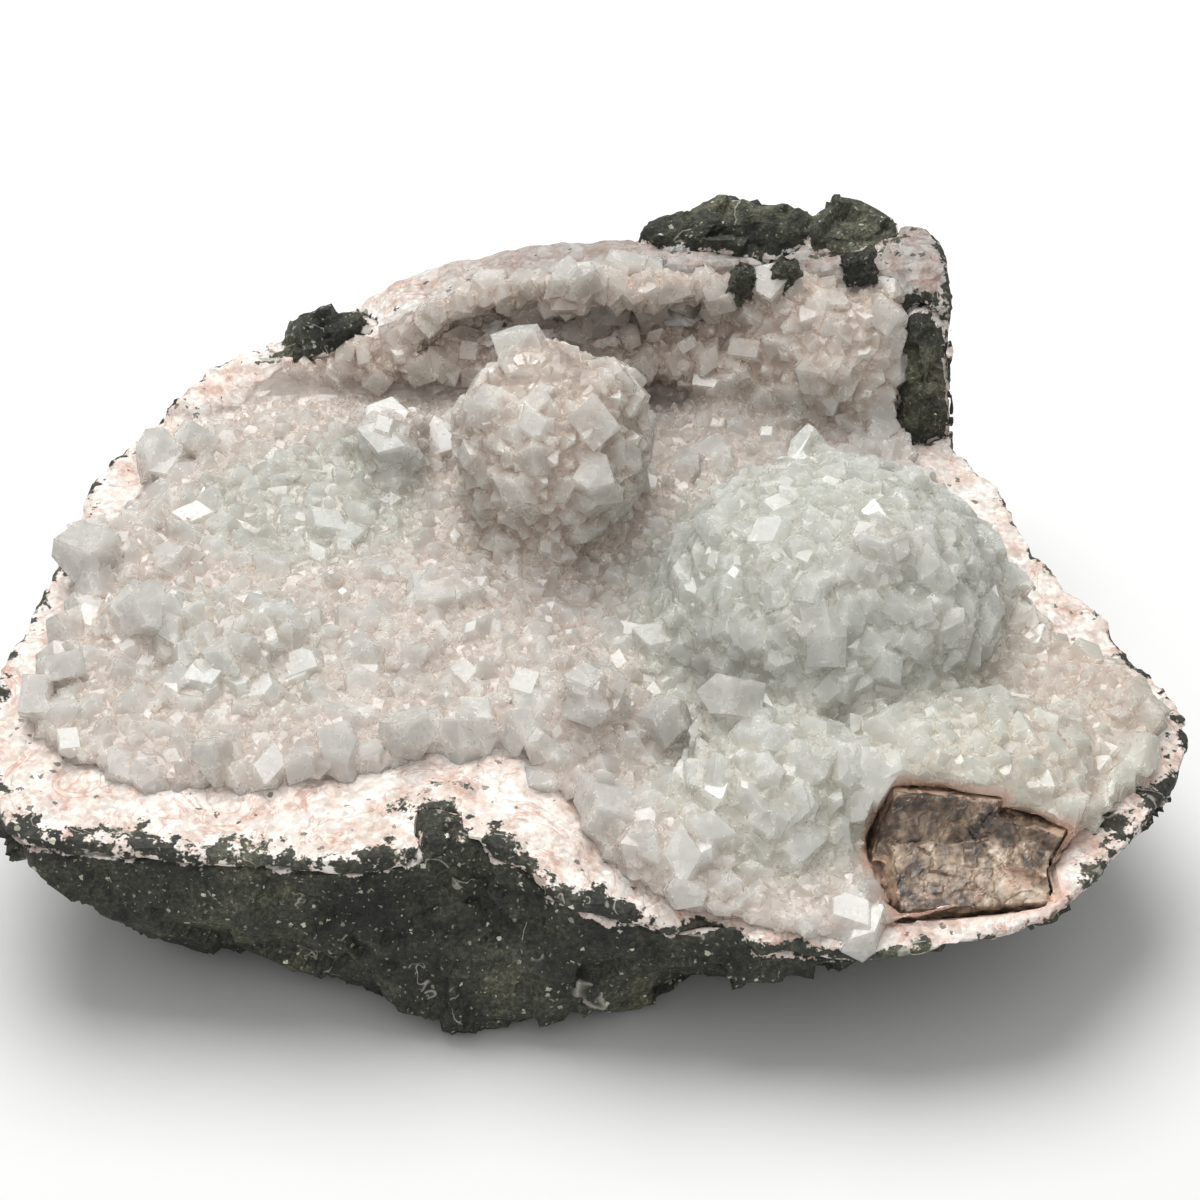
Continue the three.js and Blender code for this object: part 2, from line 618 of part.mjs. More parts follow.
const COLOURS = { basalt: 0x3a3d38, chip: 0x2e302c, rind: 0xdcc4ba, druse: 0xd3d6cf, calcite: 0x6e5b4d };
const DULL = 0.92;
const SUGARY = 0.85;
const GLASSY = 0.2;
const PEARLY = 0.35;

const geode = new THREE.Group();
geode.name = 'apophyllite_geode';
geode.add(
  meshOf('basalt_matrix', basaltSolid, COLOURS.basalt, DULL),
  meshOf('pink_rind', rindSolid, COLOURS.rind, SUGARY),
  meshOf('apophyllite_druse', druseSolid, COLOURS.druse, GLASSY),
  meshOf('calcite_crystal', calciteSolid, COLOURS.calcite, PEARLY),
  ...Object.entries(CHIPS).map(([name, c]) => meshOf(name, chip(c, 0), COLOURS.chip, DULL)),
);

// The origin is the middle of the resting face: the whole piece is shifted to stand there.
const bounds = new THREE.Box3().setFromObject(geode);
const middle = bounds.getCenter(new THREE.Vector3());
geode.position.set(-middle.x, -middle.y, -bounds.min.z);

export default geode;
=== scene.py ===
"""Looks of a hand-sized apophyllite geode: basalt, pink rind, crystal crust, calcite and chips."""
import json
import math
from itertools import product

import bpy
import numpy as np
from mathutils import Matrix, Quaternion, Vector
from mathutils.bvhtree import BVHTree
from mathutils.kdtree import KDTree

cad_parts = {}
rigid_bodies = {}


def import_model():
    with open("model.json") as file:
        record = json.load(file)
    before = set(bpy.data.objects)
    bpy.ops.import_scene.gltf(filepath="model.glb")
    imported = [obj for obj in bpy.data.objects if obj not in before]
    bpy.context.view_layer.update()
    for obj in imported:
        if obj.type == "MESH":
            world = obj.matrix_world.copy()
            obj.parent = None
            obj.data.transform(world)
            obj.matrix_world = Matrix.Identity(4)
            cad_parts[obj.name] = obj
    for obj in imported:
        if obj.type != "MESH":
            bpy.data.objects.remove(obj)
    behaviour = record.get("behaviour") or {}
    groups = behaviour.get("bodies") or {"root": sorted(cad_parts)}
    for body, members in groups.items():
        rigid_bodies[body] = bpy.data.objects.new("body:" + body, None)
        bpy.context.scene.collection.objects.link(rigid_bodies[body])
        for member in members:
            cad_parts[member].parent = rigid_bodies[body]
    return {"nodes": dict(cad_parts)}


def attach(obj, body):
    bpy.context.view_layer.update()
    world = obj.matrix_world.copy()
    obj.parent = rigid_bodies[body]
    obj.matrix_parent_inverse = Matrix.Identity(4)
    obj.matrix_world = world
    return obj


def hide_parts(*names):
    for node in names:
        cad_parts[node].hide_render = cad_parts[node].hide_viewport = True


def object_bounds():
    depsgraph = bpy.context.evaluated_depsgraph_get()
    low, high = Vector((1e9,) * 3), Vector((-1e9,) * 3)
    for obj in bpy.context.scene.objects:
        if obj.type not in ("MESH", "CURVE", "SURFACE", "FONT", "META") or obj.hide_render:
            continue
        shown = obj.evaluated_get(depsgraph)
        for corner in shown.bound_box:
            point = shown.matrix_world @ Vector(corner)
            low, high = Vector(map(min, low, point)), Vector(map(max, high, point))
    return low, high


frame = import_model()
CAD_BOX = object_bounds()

bl_info = {
    "name": "Apophyllite Geode",
    "version": (1, 0, 0),
    "blender": (4, 5, 0),
    "location": "3D View > Sidebar > Geode",
    "description": "Dresses a geode's solids with broken basalt, pink rind and apophyllite crystals",
    "category": "Object",
}

MM = 0.001
BODY = "root"

# Clusters of crystals, in millimetres of the frame: centre and half-sizes, widths of the large
# crystals and the share of places that take one, widths of the small ones, how tall the crystals
# stand as a share of their shape's full height, and the colours of their tips and of the base
# between them; the darker base colours are partly the base's own and partly painted shade.
CLUSTERS = {
    "dome": {"at": (62.7, -10, 53), "half": (48, 46, 45), "large": (7.0, 11.0), "share": 0.25,
             "small": (3.6, 6.4), "rise": 0.42, "tint": "#DCE1D9", "base": "#BEC5BA"},
    "ball": {"at": (-9, 27, 78), "half": (29, 28, 30), "large": (7.0, 10.5), "share": 0.16,
             "small": (4.2, 7.0), "rise": 0.66, "tint": "#E8E3DA", "base": "#B7A697"},
    "front": {"at": (44, -71, 46), "half": (26, 23, 24), "large": (7.0, 11.5), "share": 0.2,
              "small": (3.8, 6.5), "rise": 0.65, "tint": "#E2E5DE", "base": "#C9C9BB"},
    "ridge": {"at": (94, -61, 45), "half": (42, 27, 24), "large": (7.0, 11.5), "share": 0.2,
              "small": (3.8, 6.5), "rise": 0.65, "tint": "#E2E3D9", "base": "#CBC7B7"},
    "left_mound": {"at": (-86, -27, 54), "half": (22, 20, 18), "large": (7.0, 11.5), "share": 0.2,
                   "small": (3.6, 6.2), "rise": 0.65, "tint": "#D9DBD5", "base": "#C0B9AE"},
    "green_patch": {"at": (-72, 24, 66), "half": (30, 22, 14), "large": (7.0, 11.0), "share": 0.15,
                    "small": (3.6, 6.0), "rise": 0.65, "tint": "#CFD4CD", "base": "#B6B5AA"},
    "wall_swell": {"at": (66, 74, 78), "half": (30, 17, 22), "large": (6.5, 10.5), "share": 0.15,
                   "small": (3.4, 6.0), "rise": 0.75, "tint": "#E6E1D9", "base": "#C6B6A8"},
    "lip": {"at": (-4, 72, 94), "half": (90, 10, 9), "large": (5.0, 8.0), "share": 0.12,
            "small": (2.6, 4.6), "rise": 0.75, "tint": "#D6CCC1", "base": "#BAA596"},
    # Painted shade: the recess under the lip has darker tip and base colours than the crystals in the open.
    "recess": {"at": (-5, 80, 77), "half": (95, 17, 12), "large": (6.0, 9.0), "share": 0.12,
               "small": (3.0, 5.5), "rise": 0.85, "tint": "#CFC2B5", "base": "#A38D80"},
    "right_end": {"at": (125, -40, 52), "half": (30, 40, 20), "large": (5.5, 9.0), "share": 0.12,
                  "small": (3.2, 5.5), "rise": 0.55, "tint": "#E0DCD0", "base": "#CDBBAE"},
}
FLOOR_CLUSTER = {"large": (7.0, 12.0), "share": 0.08, "small": (2.8, 6.5), "rise": 0.68,
                 "tint": "#DAD7D1", "base": "#CBBFB5"}
# The dark crevice under the back wall takes only small crystals near it and none in it.
CREVICE = {"y": (62, 68), "z": 70, "width": 2.8}

# Steps that smooth the CAD's larger crystals into the base, because the placed crystals replace them.
BASE_SMOOTHING = 34
# Crystals grow only where this much air is open above them and the other stones are this far away.
OPEN_AIR = 2.2 * MM
STONE_GAP = 0.9 * MM
# The gap around the calcite, and how far its orange stain reaches over the druse, in millimetres.
CALCITE_ROOM = 0.8 * MM
STAIN_REACH = 3.4
# Spread of the crystals' three sizes about their width.
UNEVEN = 0.22
# Height over the base, in millimetres, at which a crystal has the full colour of its tip.
TIP_RISE = 1.9
CALCITE_STAIN = "#D39B7E"

# Single crystals that stand out: place, the way each points, width and height in millimetres.
LANDMARKS = [
    {"at": (34, -56, 60), "towards": (-0.25, -0.1, 1), "width": 11, "height": 17, "flat": 0.0},
    {"at": (-12, 30, 100), "towards": (-0.15, 0.1, 1), "width": 15, "height": 9, "flat": 0.45},
    {"at": (4, 24, 100), "towards": (0.3, -0.2, 1), "width": 11, "height": 5.5, "flat": 0.3},
    {"at": (-52, 42, 68), "towards": (-0.1, -0.5, 1), "width": 17, "height": 14, "flat": 0.4},
    {"at": (-114, -20, 59), "towards": (-0.2, -0.3, 1), "width": 16, "height": 12, "flat": 0.4},
    {"at": (-102, -20, 59), "towards": (0.3, -0.3, 1), "width": 13, "height": 11, "flat": 0.2},
    {"at": (2, -50, 60), "towards": (0, -0.4, 1), "width": 15, "height": 12, "flat": 0.3},
    {"at": (20, -54, 58), "towards": (0.2, -0.4, 1), "width": 11, "height": 10, "flat": 0.2},
]

# Area lights: name, place and diameter in metres, watts, and whether the floor takes the light too.
LIGHTS = (
    ("key_light", (-0.15, 0.42, 1.15), 1.0, 13.0, True),
    ("top_light", (-0.2, -0.3, 1.2), 1.4, 4.0, False),
    ("front_light", (-0.1, -1.0, 0.6), 1.2, 4.5, False),
    ("spark_light", (-0.3, 0.35, 0.9), 0.08, 0.9, False),
)
FLOOR_REACH = 6.0


# Small repeatable helpers.
def linear(hexcode):
    """An sRGB hex colour as linear RGBA."""
    channels = [int(hexcode[i:i + 2], 16) / 255 for i in (1, 3, 5)]
    return tuple(c / 12.92 if c <= 0.04045 else ((c + 0.055) / 1.055) ** 2.4 for c in channels) + (1.0,)


def across(size_mm):
    """The texture scale that makes a pattern repeat about every size_mm."""
    return 1.0 / (size_mm * MM)


def lattice(cell, seed):
    """A repeatable random number from -1 to 1 for each whole-number cell."""
    h = cell[:, 0] * 374761393 + cell[:, 1] * 668265263 + cell[:, 2] * 1440670441 + seed * 974634777
    h = h & 0xFFFFFFFF
    h = ((h ^ (h >> 13)) * 1274126177) & 0xFFFFFFFF
    return (h ^ (h >> 16)) / 2147483648.0 - 1.0


def smooth_noise(points, size, seed=0):
    """Noise from -1 to 1 with soft lumps about one size wide."""
    scaled = points / size
    cell = np.floor(scaled).astype(np.int64)
    part = scaled - cell
    part = part * part * (3 - 2 * part)
    total = np.zeros(len(points))
    for corner in product((0, 1), repeat=3):
        weight = np.prod(np.where(np.array(corner), part, 1 - part), axis=1)
        total += weight * lattice(cell + np.array(corner), seed)
    return total


def facet_noise(points, size, tilt, seed=0):
    """Flat broken facets: each point follows the tilted plane of its nearest random centre."""
    scaled = points / size
    cell = np.floor(scaled).astype(np.int64)
    nearest = np.full(len(points), np.inf)
    height = np.zeros(len(points))
    for step in product((-1, 0, 1), repeat=3):
        near = cell + np.array(step)
        jitter = np.stack([lattice(near, seed + k) for k in range(3)], axis=1) * 0.45
        away = scaled - (near + 0.5 + jitter)
        distance = np.einsum("ij,ij->i", away, away)
        lean = np.stack([lattice(near, seed + 3 + k) for k in range(3)], axis=1)
        plane = np.einsum("ij,ij->i", away, lean) * tilt + 0.35 * lattice(near, seed + 6)
        closer = distance < nearest
        nearest = np.where(closer, distance, nearest)
        height = np.where(closer, plane, height)
    return height


def coordinates(mesh):
    values = np.empty(len(mesh.vertices) * 3, np.float32)
    mesh.vertices.foreach_get("co", values)
    return values.reshape(-1, 3).astype(float)


def normals(mesh):
    values = np.empty(len(mesh.vertices) * 3, np.float32)
    mesh.vertex_normals.foreach_get("vector", values)
    return values.reshape(-1, 3).astype(float)


def write_coordinates(mesh, points):
    low, high = (np.array(corner) for corner in CAD_BOX)
    inside = np.clip(points, low + 0.02 * MM, high - 0.02 * MM)
    inside[:, 2] = np.maximum(inside[:, 2], 0.0)
    mesh.vertices.foreach_set("co", inside.astype(np.float32).ravel())
    mesh.update()


def cad_surface(names):
    """The points and faces of some CAD nodes in one list each."""
    points = []
    faces = []
    for name in names:
        mesh = frame["nodes"][name].data
        start = len(points)
        points.extend(v.co.copy() for v in mesh.vertices)
        faces.extend([start + i for i in face.vertices] for face in mesh.polygons)
    return points, faces


def tree_of(*names):
    """A search tree over CAD nodes."""
    return BVHTree.FromPolygons(*cad_surface(names))


def point_tree(points):
    """A search tree over single points."""
    tree = KDTree(len(points))
    for index, point in enumerate(points):
        tree.insert(point, index)
    tree.balance()
    return tree


def distance_mm(points, tree, most):
    """Millimetres from each point to a tree's surface, up to a limit."""
    reach = most * MM
    found = [tree.find_nearest(Vector(p), reach)[3] for p in points]
    return np.array([most if d is None else d / MM for d in found])


def store(mesh, name, values):
    """Keeps one number a vertex for the materials."""
    layer = mesh.attributes.new(name, "FLOAT", "POINT")
    layer.data.foreach_set("value", values.astype(np.float32))


def new_object(name, mesh):
    piece = bpy.data.objects.new(name, mesh)
    bpy.context.scene.collection.objects.link(piece)
    return piece


def remeshed(name, nodes, voxel, smoothing=0):
    """CAD nodes copied into one even mesh, softened a number of times."""
    points, faces = cad_surface(nodes)
    source = bpy.data.meshes.new(name)
    source.from_pydata(points, [], faces)
    piece = new_object(name, source)
    weld = piece.modifiers.new("weld", "WELD")
    weld.merge_threshold = 0.001 * MM
    grid = piece.modifiers.new("grid", "REMESH")
    grid.mode = "VOXEL"
    grid.voxel_size = voxel
    if smoothing:
        soften = piece.modifiers.new("soften", "SMOOTH")
        soften.factor = 0.5
        soften.iterations = smoothing
    graph = bpy.context.evaluated_depsgraph_get()
    result = bpy.data.meshes.new_from_object(piece.evaluated_get(graph))
    piece.modifiers.clear()
    piece.data = result
    result.materials.clear()
    bpy.data.meshes.remove(source)
    return piece


def finish_piece(piece, material, replaced=()):
    piece.data.materials.append(material)
    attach(piece, BODY)
    if replaced:
        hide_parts(*replaced)


# Shader helpers.
def add(tree, kind, settings=None, links=None):
    """Adds a shader node, sets its properties and inputs, and links its inputs."""
    node = tree.nodes.new(kind)
    for name, value in (settings or {}).items():
        if name == "ramp":
            elements = node.color_ramp.elements
            while len(elements) < len(value):
                elements.new(0.5)
            for element, (place, colour) in zip(elements, value):
                element.position = place
                element.color = colour
        elif isinstance(name, int) or name in node.inputs:
            node.inputs[name].default_value = value
        else:
            setattr(node, name, value)
    for name, source in (links or {}).items():
        tree.links.new(source, node.inputs[name])
    return node


def new_material(name):
    material = bpy.data.materials.new(name)
    material.use_nodes = True
    material.node_tree.nodes.clear()
    return material, material.node_tree


def finish_material(tree, settings, links):
    shader = add(tree, "ShaderNodeBsdfPrincipled", settings, links)
    add(tree, "ShaderNodeOutputMaterial", links={"Surface": shader.outputs[0]})
    return shader


def multiplied(tree, colour, shade):
    """A colour multiplied by another, or by a number."""
    node = add(tree, "ShaderNodeMix", {"data_type": "RGBA", "blend_type": "MULTIPLY", 0: 1.0},
               {6: colour, 7: shade})
    return node.outputs[2]


def covered(tree, mask, under, over):
    """One colour over another where a mask is 1. The upper one is a socket or a hex colour."""
    if isinstance(over, str):
        node = add(tree, "ShaderNodeMix", {"data_type": "RGBA", 7: linear(over)}, {0: mask, 6: under})
    else:
        node = add(tree, "ShaderNodeMix", {"data_type": "RGBA"}, {0: mask, 6: under, 7: over})
    return node.outputs[2]


def ruffled(tree, place, size_mm, amount_mm):
    """The place, pushed about by noise, which makes round spots ragged."""
    noise = add(tree, "ShaderNodeTexNoise", {"Scale": across(size_mm), "Detail": 2.0}, {"Vector": place})
    centred = add(tree, "ShaderNodeVectorMath", {"operation": "SUBTRACT", 1: (0.5, 0.5, 0.5)},
                  {0: noise.outputs["Color"]})
    push = add(tree, "ShaderNodeVectorMath", {"operation": "SCALE", "Scale": amount_mm * MM},
               {0: centred.outputs[0]})
    moved = add(tree, "ShaderNodeVectorMath", {"operation": "ADD"}, {0: place, 1: push.outputs[0]})
    return moved.outputs[0]


def basalt_colour(tree, place):
    """Dark green-grey basalt with a fine grain, pale filled bubbles and a few thin white veins."""
    patches = add(tree, "ShaderNodeTexNoise", {"Scale": across(26), "Detail": 3.0, "Roughness": 0.6},
                  {"Vector": place})
    base = add(tree, "ShaderNodeValToRGB", {"ramp": [
        (0.3, linear("#1A1A15")), (0.44, linear("#2A2B24")), (0.56, linear("#3C3D33")),
        (0.72, linear("#595948"))]}, {"Fac": patches.outputs["Fac"]})
    grain = add(tree, "ShaderNodeTexNoise", {"Scale": across(1.4), "Detail": 3.0, "Roughness": 0.8},
                {"Vector": place})
    grain_shade = add(tree, "ShaderNodeValToRGB", {"ramp": [
        (0.34, (0.28, 0.28, 0.27, 1)), (0.5, (0.9, 0.9, 0.88, 1)), (0.66, (2.1, 2.1, 1.95, 1))]},
        {"Fac": grain.outputs["Fac"]})
    grained = multiplied(tree, base.outputs["Color"], grain_shade.outputs["Color"])
    # Bubbles 0.5 to 2 mm wide, filled with cream and pale green zeolite, in some of the cells.
    ragged = ruffled(tree, place, 0.9, 1.6)
    cells = add(tree, "ShaderNodeTexVoronoi", {"Scale": across(2.9)}, {"Vector": ragged})
    cell_value = add(tree, "ShaderNodeSeparateColor", links={0: cells.outputs["Color"]})
    size = add(tree, "ShaderNodeMapRange", {"From Min": 0.45, "To Min": 0.0, "To Max": 0.26},
               {"Value": cell_value.outputs[0]})
    near = add(tree, "ShaderNodeMath", {"operation": "LESS_THAN"},
               {0: cells.outputs["Distance"], 1: size.outputs[0]})
    filling = add(tree, "ShaderNodeMix", {"data_type": "RGBA", 6: linear("#7F8574"), 7: linear("#CFCBB8")},
                  {0: cell_value.outputs[1]})
    bubbled = covered(tree, near.outputs[0], grained, filling.outputs[2])
    # Fine pale mineral grains, under half a millimetre wide.
    dots = add(tree, "ShaderNodeTexVoronoi", {"Scale": across(1.3)}, {"Vector": ragged})
    dot_value = add(tree, "ShaderNodeSeparateColor", links={0: dots.outputs["Color"]})
    dot_size = add(tree, "ShaderNodeMapRange", {"From Min": 0.55, "To Min": 0.0, "To Max": 0.34},
                   {"Value": dot_value.outputs[0]})
    dot = add(tree, "ShaderNodeMath", {"operation": "LESS_THAN"},
              {0: dots.outputs["Distance"], 1: dot_size.outputs[0]})
    dotted = covered(tree, dot.outputs[0], bubbled, "#7C7D6B")
    # Thin white veins, some centimetres apart.
    vein = add(tree, "ShaderNodeTexNoise", {"Scale": across(34), "Detail": 3.0, "Roughness": 0.65,
                                            "Distortion": 0.8}, {"Vector": place})
    vein_line = add(tree, "ShaderNodeValToRGB", {"ramp": [
        (0.492, (0, 0, 0, 1)), (0.5, (0.5, 0.5, 0.5, 1)), (0.508, (0, 0, 0, 1))]},
        {"Fac": vein.outputs["Fac"]})
    vein_break = add(tree, "ShaderNodeTexNoise", {"Scale": across(9), "Detail": 2.0}, {"Vector": place})
    vein_part = add(tree, "ShaderNodeMath", {"operation": "GREATER_THAN", 1: 0.58},
                    {0: vein_break.outputs["Fac"]})
    vein_mask = add(tree, "ShaderNodeMath", {"operation": "MULTIPLY"},
                    {0: vein_line.outputs["Color"], 1: vein_part.outputs[0]})
    return covered(tree, vein_mask.outputs[0], dotted, "#CFCBBE")


def basalt_material():
    """Amygdaloidal basalt, freshly broken: dull, dark green-grey, fine-grained, with filled bubbles."""
    material, tree = new_material("broken_basalt")
    place = add(tree, "ShaderNodeTexCoord").outputs["Object"]
    # Ragged patches of rind cling to the basalt within some millimetres of it.
    mask = clinging(tree, place, "rind_distance", reach=2.2, soft=0.05)
    clung = covered(tree, mask, basalt_colour(tree, place), rind_colour(tree, place))
    grain = add(tree, "ShaderNodeTexNoise", {"Scale": across(1.4), "Detail": 3.0, "Roughness": 0.8},
                {"Vector": place})
    rough = add(tree, "ShaderNodeMath", {"operation": "MULTIPLY_ADD", 1: 0.25, 2: 0.66},
                {0: grain.outputs["Fac"]})
    bump = add(tree, "ShaderNodeBump", {"Strength": 1.0, "Distance": 1.1 * MM},
               {"Height": grain.outputs["Fac"]})
    finish_material(tree, {"IOR": 1.5}, {"Base Color": clung, "Roughness": rough.outputs[0],
                                         "Normal": bump.outputs[0]})
    return material


def clinging(tree, place, attribute, reach, soft):
    """A ragged mask that fades out with the distance kept in an attribute, in millimetres."""
    distance = add(tree, "ShaderNodeAttribute", {"attribute_name": attribute})
    wide = add(tree, "ShaderNodeTexNoise", {"Scale": across(9), "Detail": 4.0, "Roughness": 0.72},
               {"Vector": place})
    limit = add(tree, "ShaderNodeMapRange", {"From Min": 0.36, "From Max": 0.68, "To Min": -0.6,
                                             "To Max": reach}, {"Value": wide.outputs["Fac"]})
    left = add(tree, "ShaderNodeMath", {"operation": "SUBTRACT"},
               {0: limit.outputs[0], 1: distance.outputs["Fac"]})
    edge = add(tree, "ShaderNodeMapRange", {"From Min": -soft, "From Max": soft + 0.15},
               {"Value": left.outputs[0]})
    return edge.outputs[0]


def rind_colour(tree, place):
    """Granular zeolite rind: cream and white grains in pale pink, with thin red-brown iron stain."""
    blotch = add(tree, "ShaderNodeTexNoise", {"Scale": across(7), "Detail": 3.0, "Roughness": 0.7},
                 {"Vector": place})
    pinks = add(tree, "ShaderNodeValToRGB", {"ramp": [
        (0.3, linear("#C3A99C")), (0.44, linear("#D7C8BE")), (0.56, linear("#E1D9D2")),
        (0.72, linear("#EAE6E0"))]}, {"Fac": blotch.outputs["Fac"]})
    grain = add(tree, "ShaderNodeTexVoronoi", {"Scale": across(1.3)}, {"Vector": place})
    grain_value = add(tree, "ShaderNodeSeparateColor", links={0: grain.outputs["Color"]})
    shade = add(tree, "ShaderNodeMapRange", {"To Min": 0.74, "To Max": 1.08},
                {"Value": grain_value.outputs[0]})
    shaded = multiplied(tree, pinks.outputs["Color"], shade.outputs[0])
    iron = add(tree, "ShaderNodeTexNoise", {"Scale": across(22), "Detail": 4.0, "Roughness": 0.6,
                                            "Distortion": 1.2}, {"Vector": place})
    line = add(tree, "ShaderNodeValToRGB", {"ramp": [
        (0.485, (0, 0, 0, 1)), (0.5, (0.6, 0.6, 0.6, 1)), (0.515, (0, 0, 0, 1))]},
        {"Fac": iron.outputs["Fac"]})
    stained = covered(tree, line.outputs["Color"], shaded, "#B07A66")
    # Grains of dark basalt caught in the rind, about a millimetre wide.
    specks = add(tree, "ShaderNodeTexVoronoi", {"Scale": across(2.3)},
                 {"Vector": ruffled(tree, place, 1.0, 2.2)})
    speck_value = add(tree, "ShaderNodeSeparateColor", links={0: specks.outputs["Color"]})
    speck_size = add(tree, "ShaderNodeMapRange", {"From Min": 0.72, "From Max": 1.0, "To Min": 0.0,
                                                  "To Max": 0.42}, {"Value": speck_value.outputs[1]})
    speck = add(tree, "ShaderNodeMath", {"operation": "LESS_THAN"},
                {0: specks.outputs["Distance"], 1: speck_size.outputs[0]})
    near_dark = add(tree, "ShaderNodeAttribute", {"attribute_name": "basalt_distance"})
    fade = add(tree, "ShaderNodeMapRange", {"From Min": 3.0, "From Max": 9.0, "To Min": 1.0, "To Max": 0.12},
               {"Value": near_dark.outputs["Fac"]})
    speck_mask = add(tree, "ShaderNodeMath", {"operation": "MULTIPLY"},
                     {0: speck.outputs[0], 1: fade.outputs[0]})
    return covered(tree, speck_mask.outputs[0], stained, "#4A4A42")


def rind_material():
    """Granular zeolite rind, broken across: dull and sugary, with dark basalt showing where it thins."""
    material, tree = new_material("granular_rind")
    place = add(tree, "ShaderNodeTexCoord").outputs["Object"]
    colour = rind_colour(tree, place)
    # Painted shade: the colour darkens towards the lip's top, where the light from above falls fullest.
    split = add(tree, "ShaderNodeSeparateXYZ", links={0: place})
    painted_top_shade = add(tree, "ShaderNodeMapRange", {"From Min": 80 * MM, "From Max": 98 * MM, "To Min": 1.0,
                                            "To Max": 0.48}, {"Value": split.outputs["Z"]})
    top_shaded = multiplied(tree, colour, painted_top_shade.outputs[0])
    # Dark basalt laps over the rind's outer edge.
    dark = clinging(tree, place, "edge_distance", reach=1.9, soft=0.05)
    lapped = covered(tree, dark, top_shaded, basalt_colour(tree, place))
    stain = add(tree, "ShaderNodeAttribute", {"attribute_name": "calcite_distance"})
    stain_mask = add(tree, "ShaderNodeMapRange", {"From Min": 1.0, "From Max": 5.0, "To Min": 0.6,
                                                  "To Max": 0.0}, {"Value": stain.outputs["Fac"]})
    stained = covered(tree, stain_mask.outputs[0], lapped, "#C99C86")
    grain = add(tree, "ShaderNodeTexNoise", {"Scale": across(1.2), "Detail": 4.0, "Roughness": 0.7},
                {"Vector": place})
    bump = add(tree, "ShaderNodeBump", {"Strength": 0.8, "Distance": 0.5 * MM},
               {"Height": grain.outputs["Fac"]})
    finish_material(tree, {"Roughness": 0.72, "IOR": 1.5},
                    {"Base Color": stained, "Normal": bump.outputs[0]})
    return material


def apophyllite_material():
    """Apophyllite crystals as they grew: milky, see-through at the edges, with bright glassy faces."""
    material, tree = new_material("milky_apophyllite")
    place = add(tree, "ShaderNodeTexCoord").outputs["Object"]
    tint = add(tree, "ShaderNodeAttribute", {"attribute_name": "tint"})
    veil = add(tree, "ShaderNodeTexNoise", {"Scale": across(3.2), "Detail": 2.0, "Roughness": 0.6},
               {"Vector": place})
    cloud = add(tree, "ShaderNodeMapRange", {"From Min": 0.3, "From Max": 0.7, "To Min": 0.86,
                                             "To Max": 1.06}, {"Value": veil.outputs["Fac"]})
    clouded = multiplied(tree, tint.outputs["Color"], cloud.outputs[0])
    rough = add(tree, "ShaderNodeMapRange", {"From Min": 0.35, "From Max": 0.65, "To Min": 0.12,
                                             "To Max": 0.34}, {"Value": veil.outputs["Fac"]})
    steps = add(tree, "ShaderNodeTexNoise", {"Scale": across(1.6), "Detail": 2.0}, {"Vector": place})
    bump = add(tree, "ShaderNodeBump", {"Strength": 0.35, "Distance": 0.25 * MM},
               {"Height": steps.outputs["Fac"]})
    shader = finish_material(
        tree, {"IOR": 1.535, "Transmission Weight": 0.45, "Subsurface Weight": 1.0,
               "Subsurface Scale": 6.0 * MM, "Subsurface Radius": (1.0, 0.95, 0.9)},
        {"Base Color": clouded, "Roughness": rough.outputs[0], "Normal": bump.outputs[0]})
    # The simpler of the scattering models spreads light evenly across joined crystals.
    shader.subsurface_method = "BURLEY"
    return material


def calcite_material():
    """Brown calcite, cleaved: half-glossy stepped faces with fine cracks, pale veils and dark ones."""
    material, tree = new_material("cleaved_calcite")
    place = add(tree, "ShaderNodeTexCoord").outputs["Object"]
    veil = add(tree, "ShaderNodeTexNoise", {"Scale": across(8), "Detail": 3.0, "Roughness": 0.62,
                                            "Distortion": 0.6}, {"Vector": place})
    split = add(tree, "ShaderNodeSeparateXYZ", links={0: place})
    # Painted light and shade: the front block is painted paler, as if lit, and the blocks behind it darker,
    # as if shaded.
    depth = add(tree, "ShaderNodeMapRange", {"From Min": -80 * MM, "From Max": -90 * MM, "To Min": -0.09,
                                             "To Max": 0.05}, {"Value": split.outputs["Y"]})
    veil_and_painted_light = add(tree, "ShaderNodeMath", {"operation": "ADD"}, {0: veil.outputs["Fac"], 1: depth.outputs[0]})
    base = add(tree, "ShaderNodeValToRGB", {"ramp": [
        (0.34, linear("#2E251E")), (0.45, linear("#5B4A3D")), (0.53, linear("#86725F")),
        (0.62, linear("#A8937D")), (0.72, linear("#CDBFAD"))]}, {"Fac": veil_and_painted_light.outputs[0]})
    # Fine parallel cleavage cracks, broken up along their length.
    turned = add(tree, "ShaderNodeMapping", {"Rotation": (0.5, 0.3, 0.9), "Scale": (1.0, 1.0, 0.16)},
                 {"Vector": place})
    cracks = add(tree, "ShaderNodeTexNoise", {"Scale": across(1.3), "Detail": 3.0},
                 {"Vector": turned.outputs[0]})
    crack_shade = add(tree, "ShaderNodeMapRange", {"From Min": 0.36, "From Max": 0.6, "To Min": 0.62,
                                                   "To Max": 1.12}, {"Value": cracks.outputs["Fac"]})
    cracked = multiplied(tree, base.outputs["Color"], crack_shade.outputs[0])
    # Pale pink-brown grains of rind cling to the crystal's edge.
    mask = clinging(tree, place, "rind_distance", reach=1.1, soft=0.3)
    rimmed = covered(tree, mask, cracked, "#B99C87")
    bump = add(tree, "ShaderNodeBump", {"Strength": 0.5, "Distance": 0.3 * MM},
               {"Height": cracks.outputs["Fac"]})
    finish_material(tree, {"Roughness": 0.38, "IOR": 1.6, "Transmission Weight": 0.1},
                    {"Base Color": rimmed, "Normal": bump.outputs[0]})
    return material


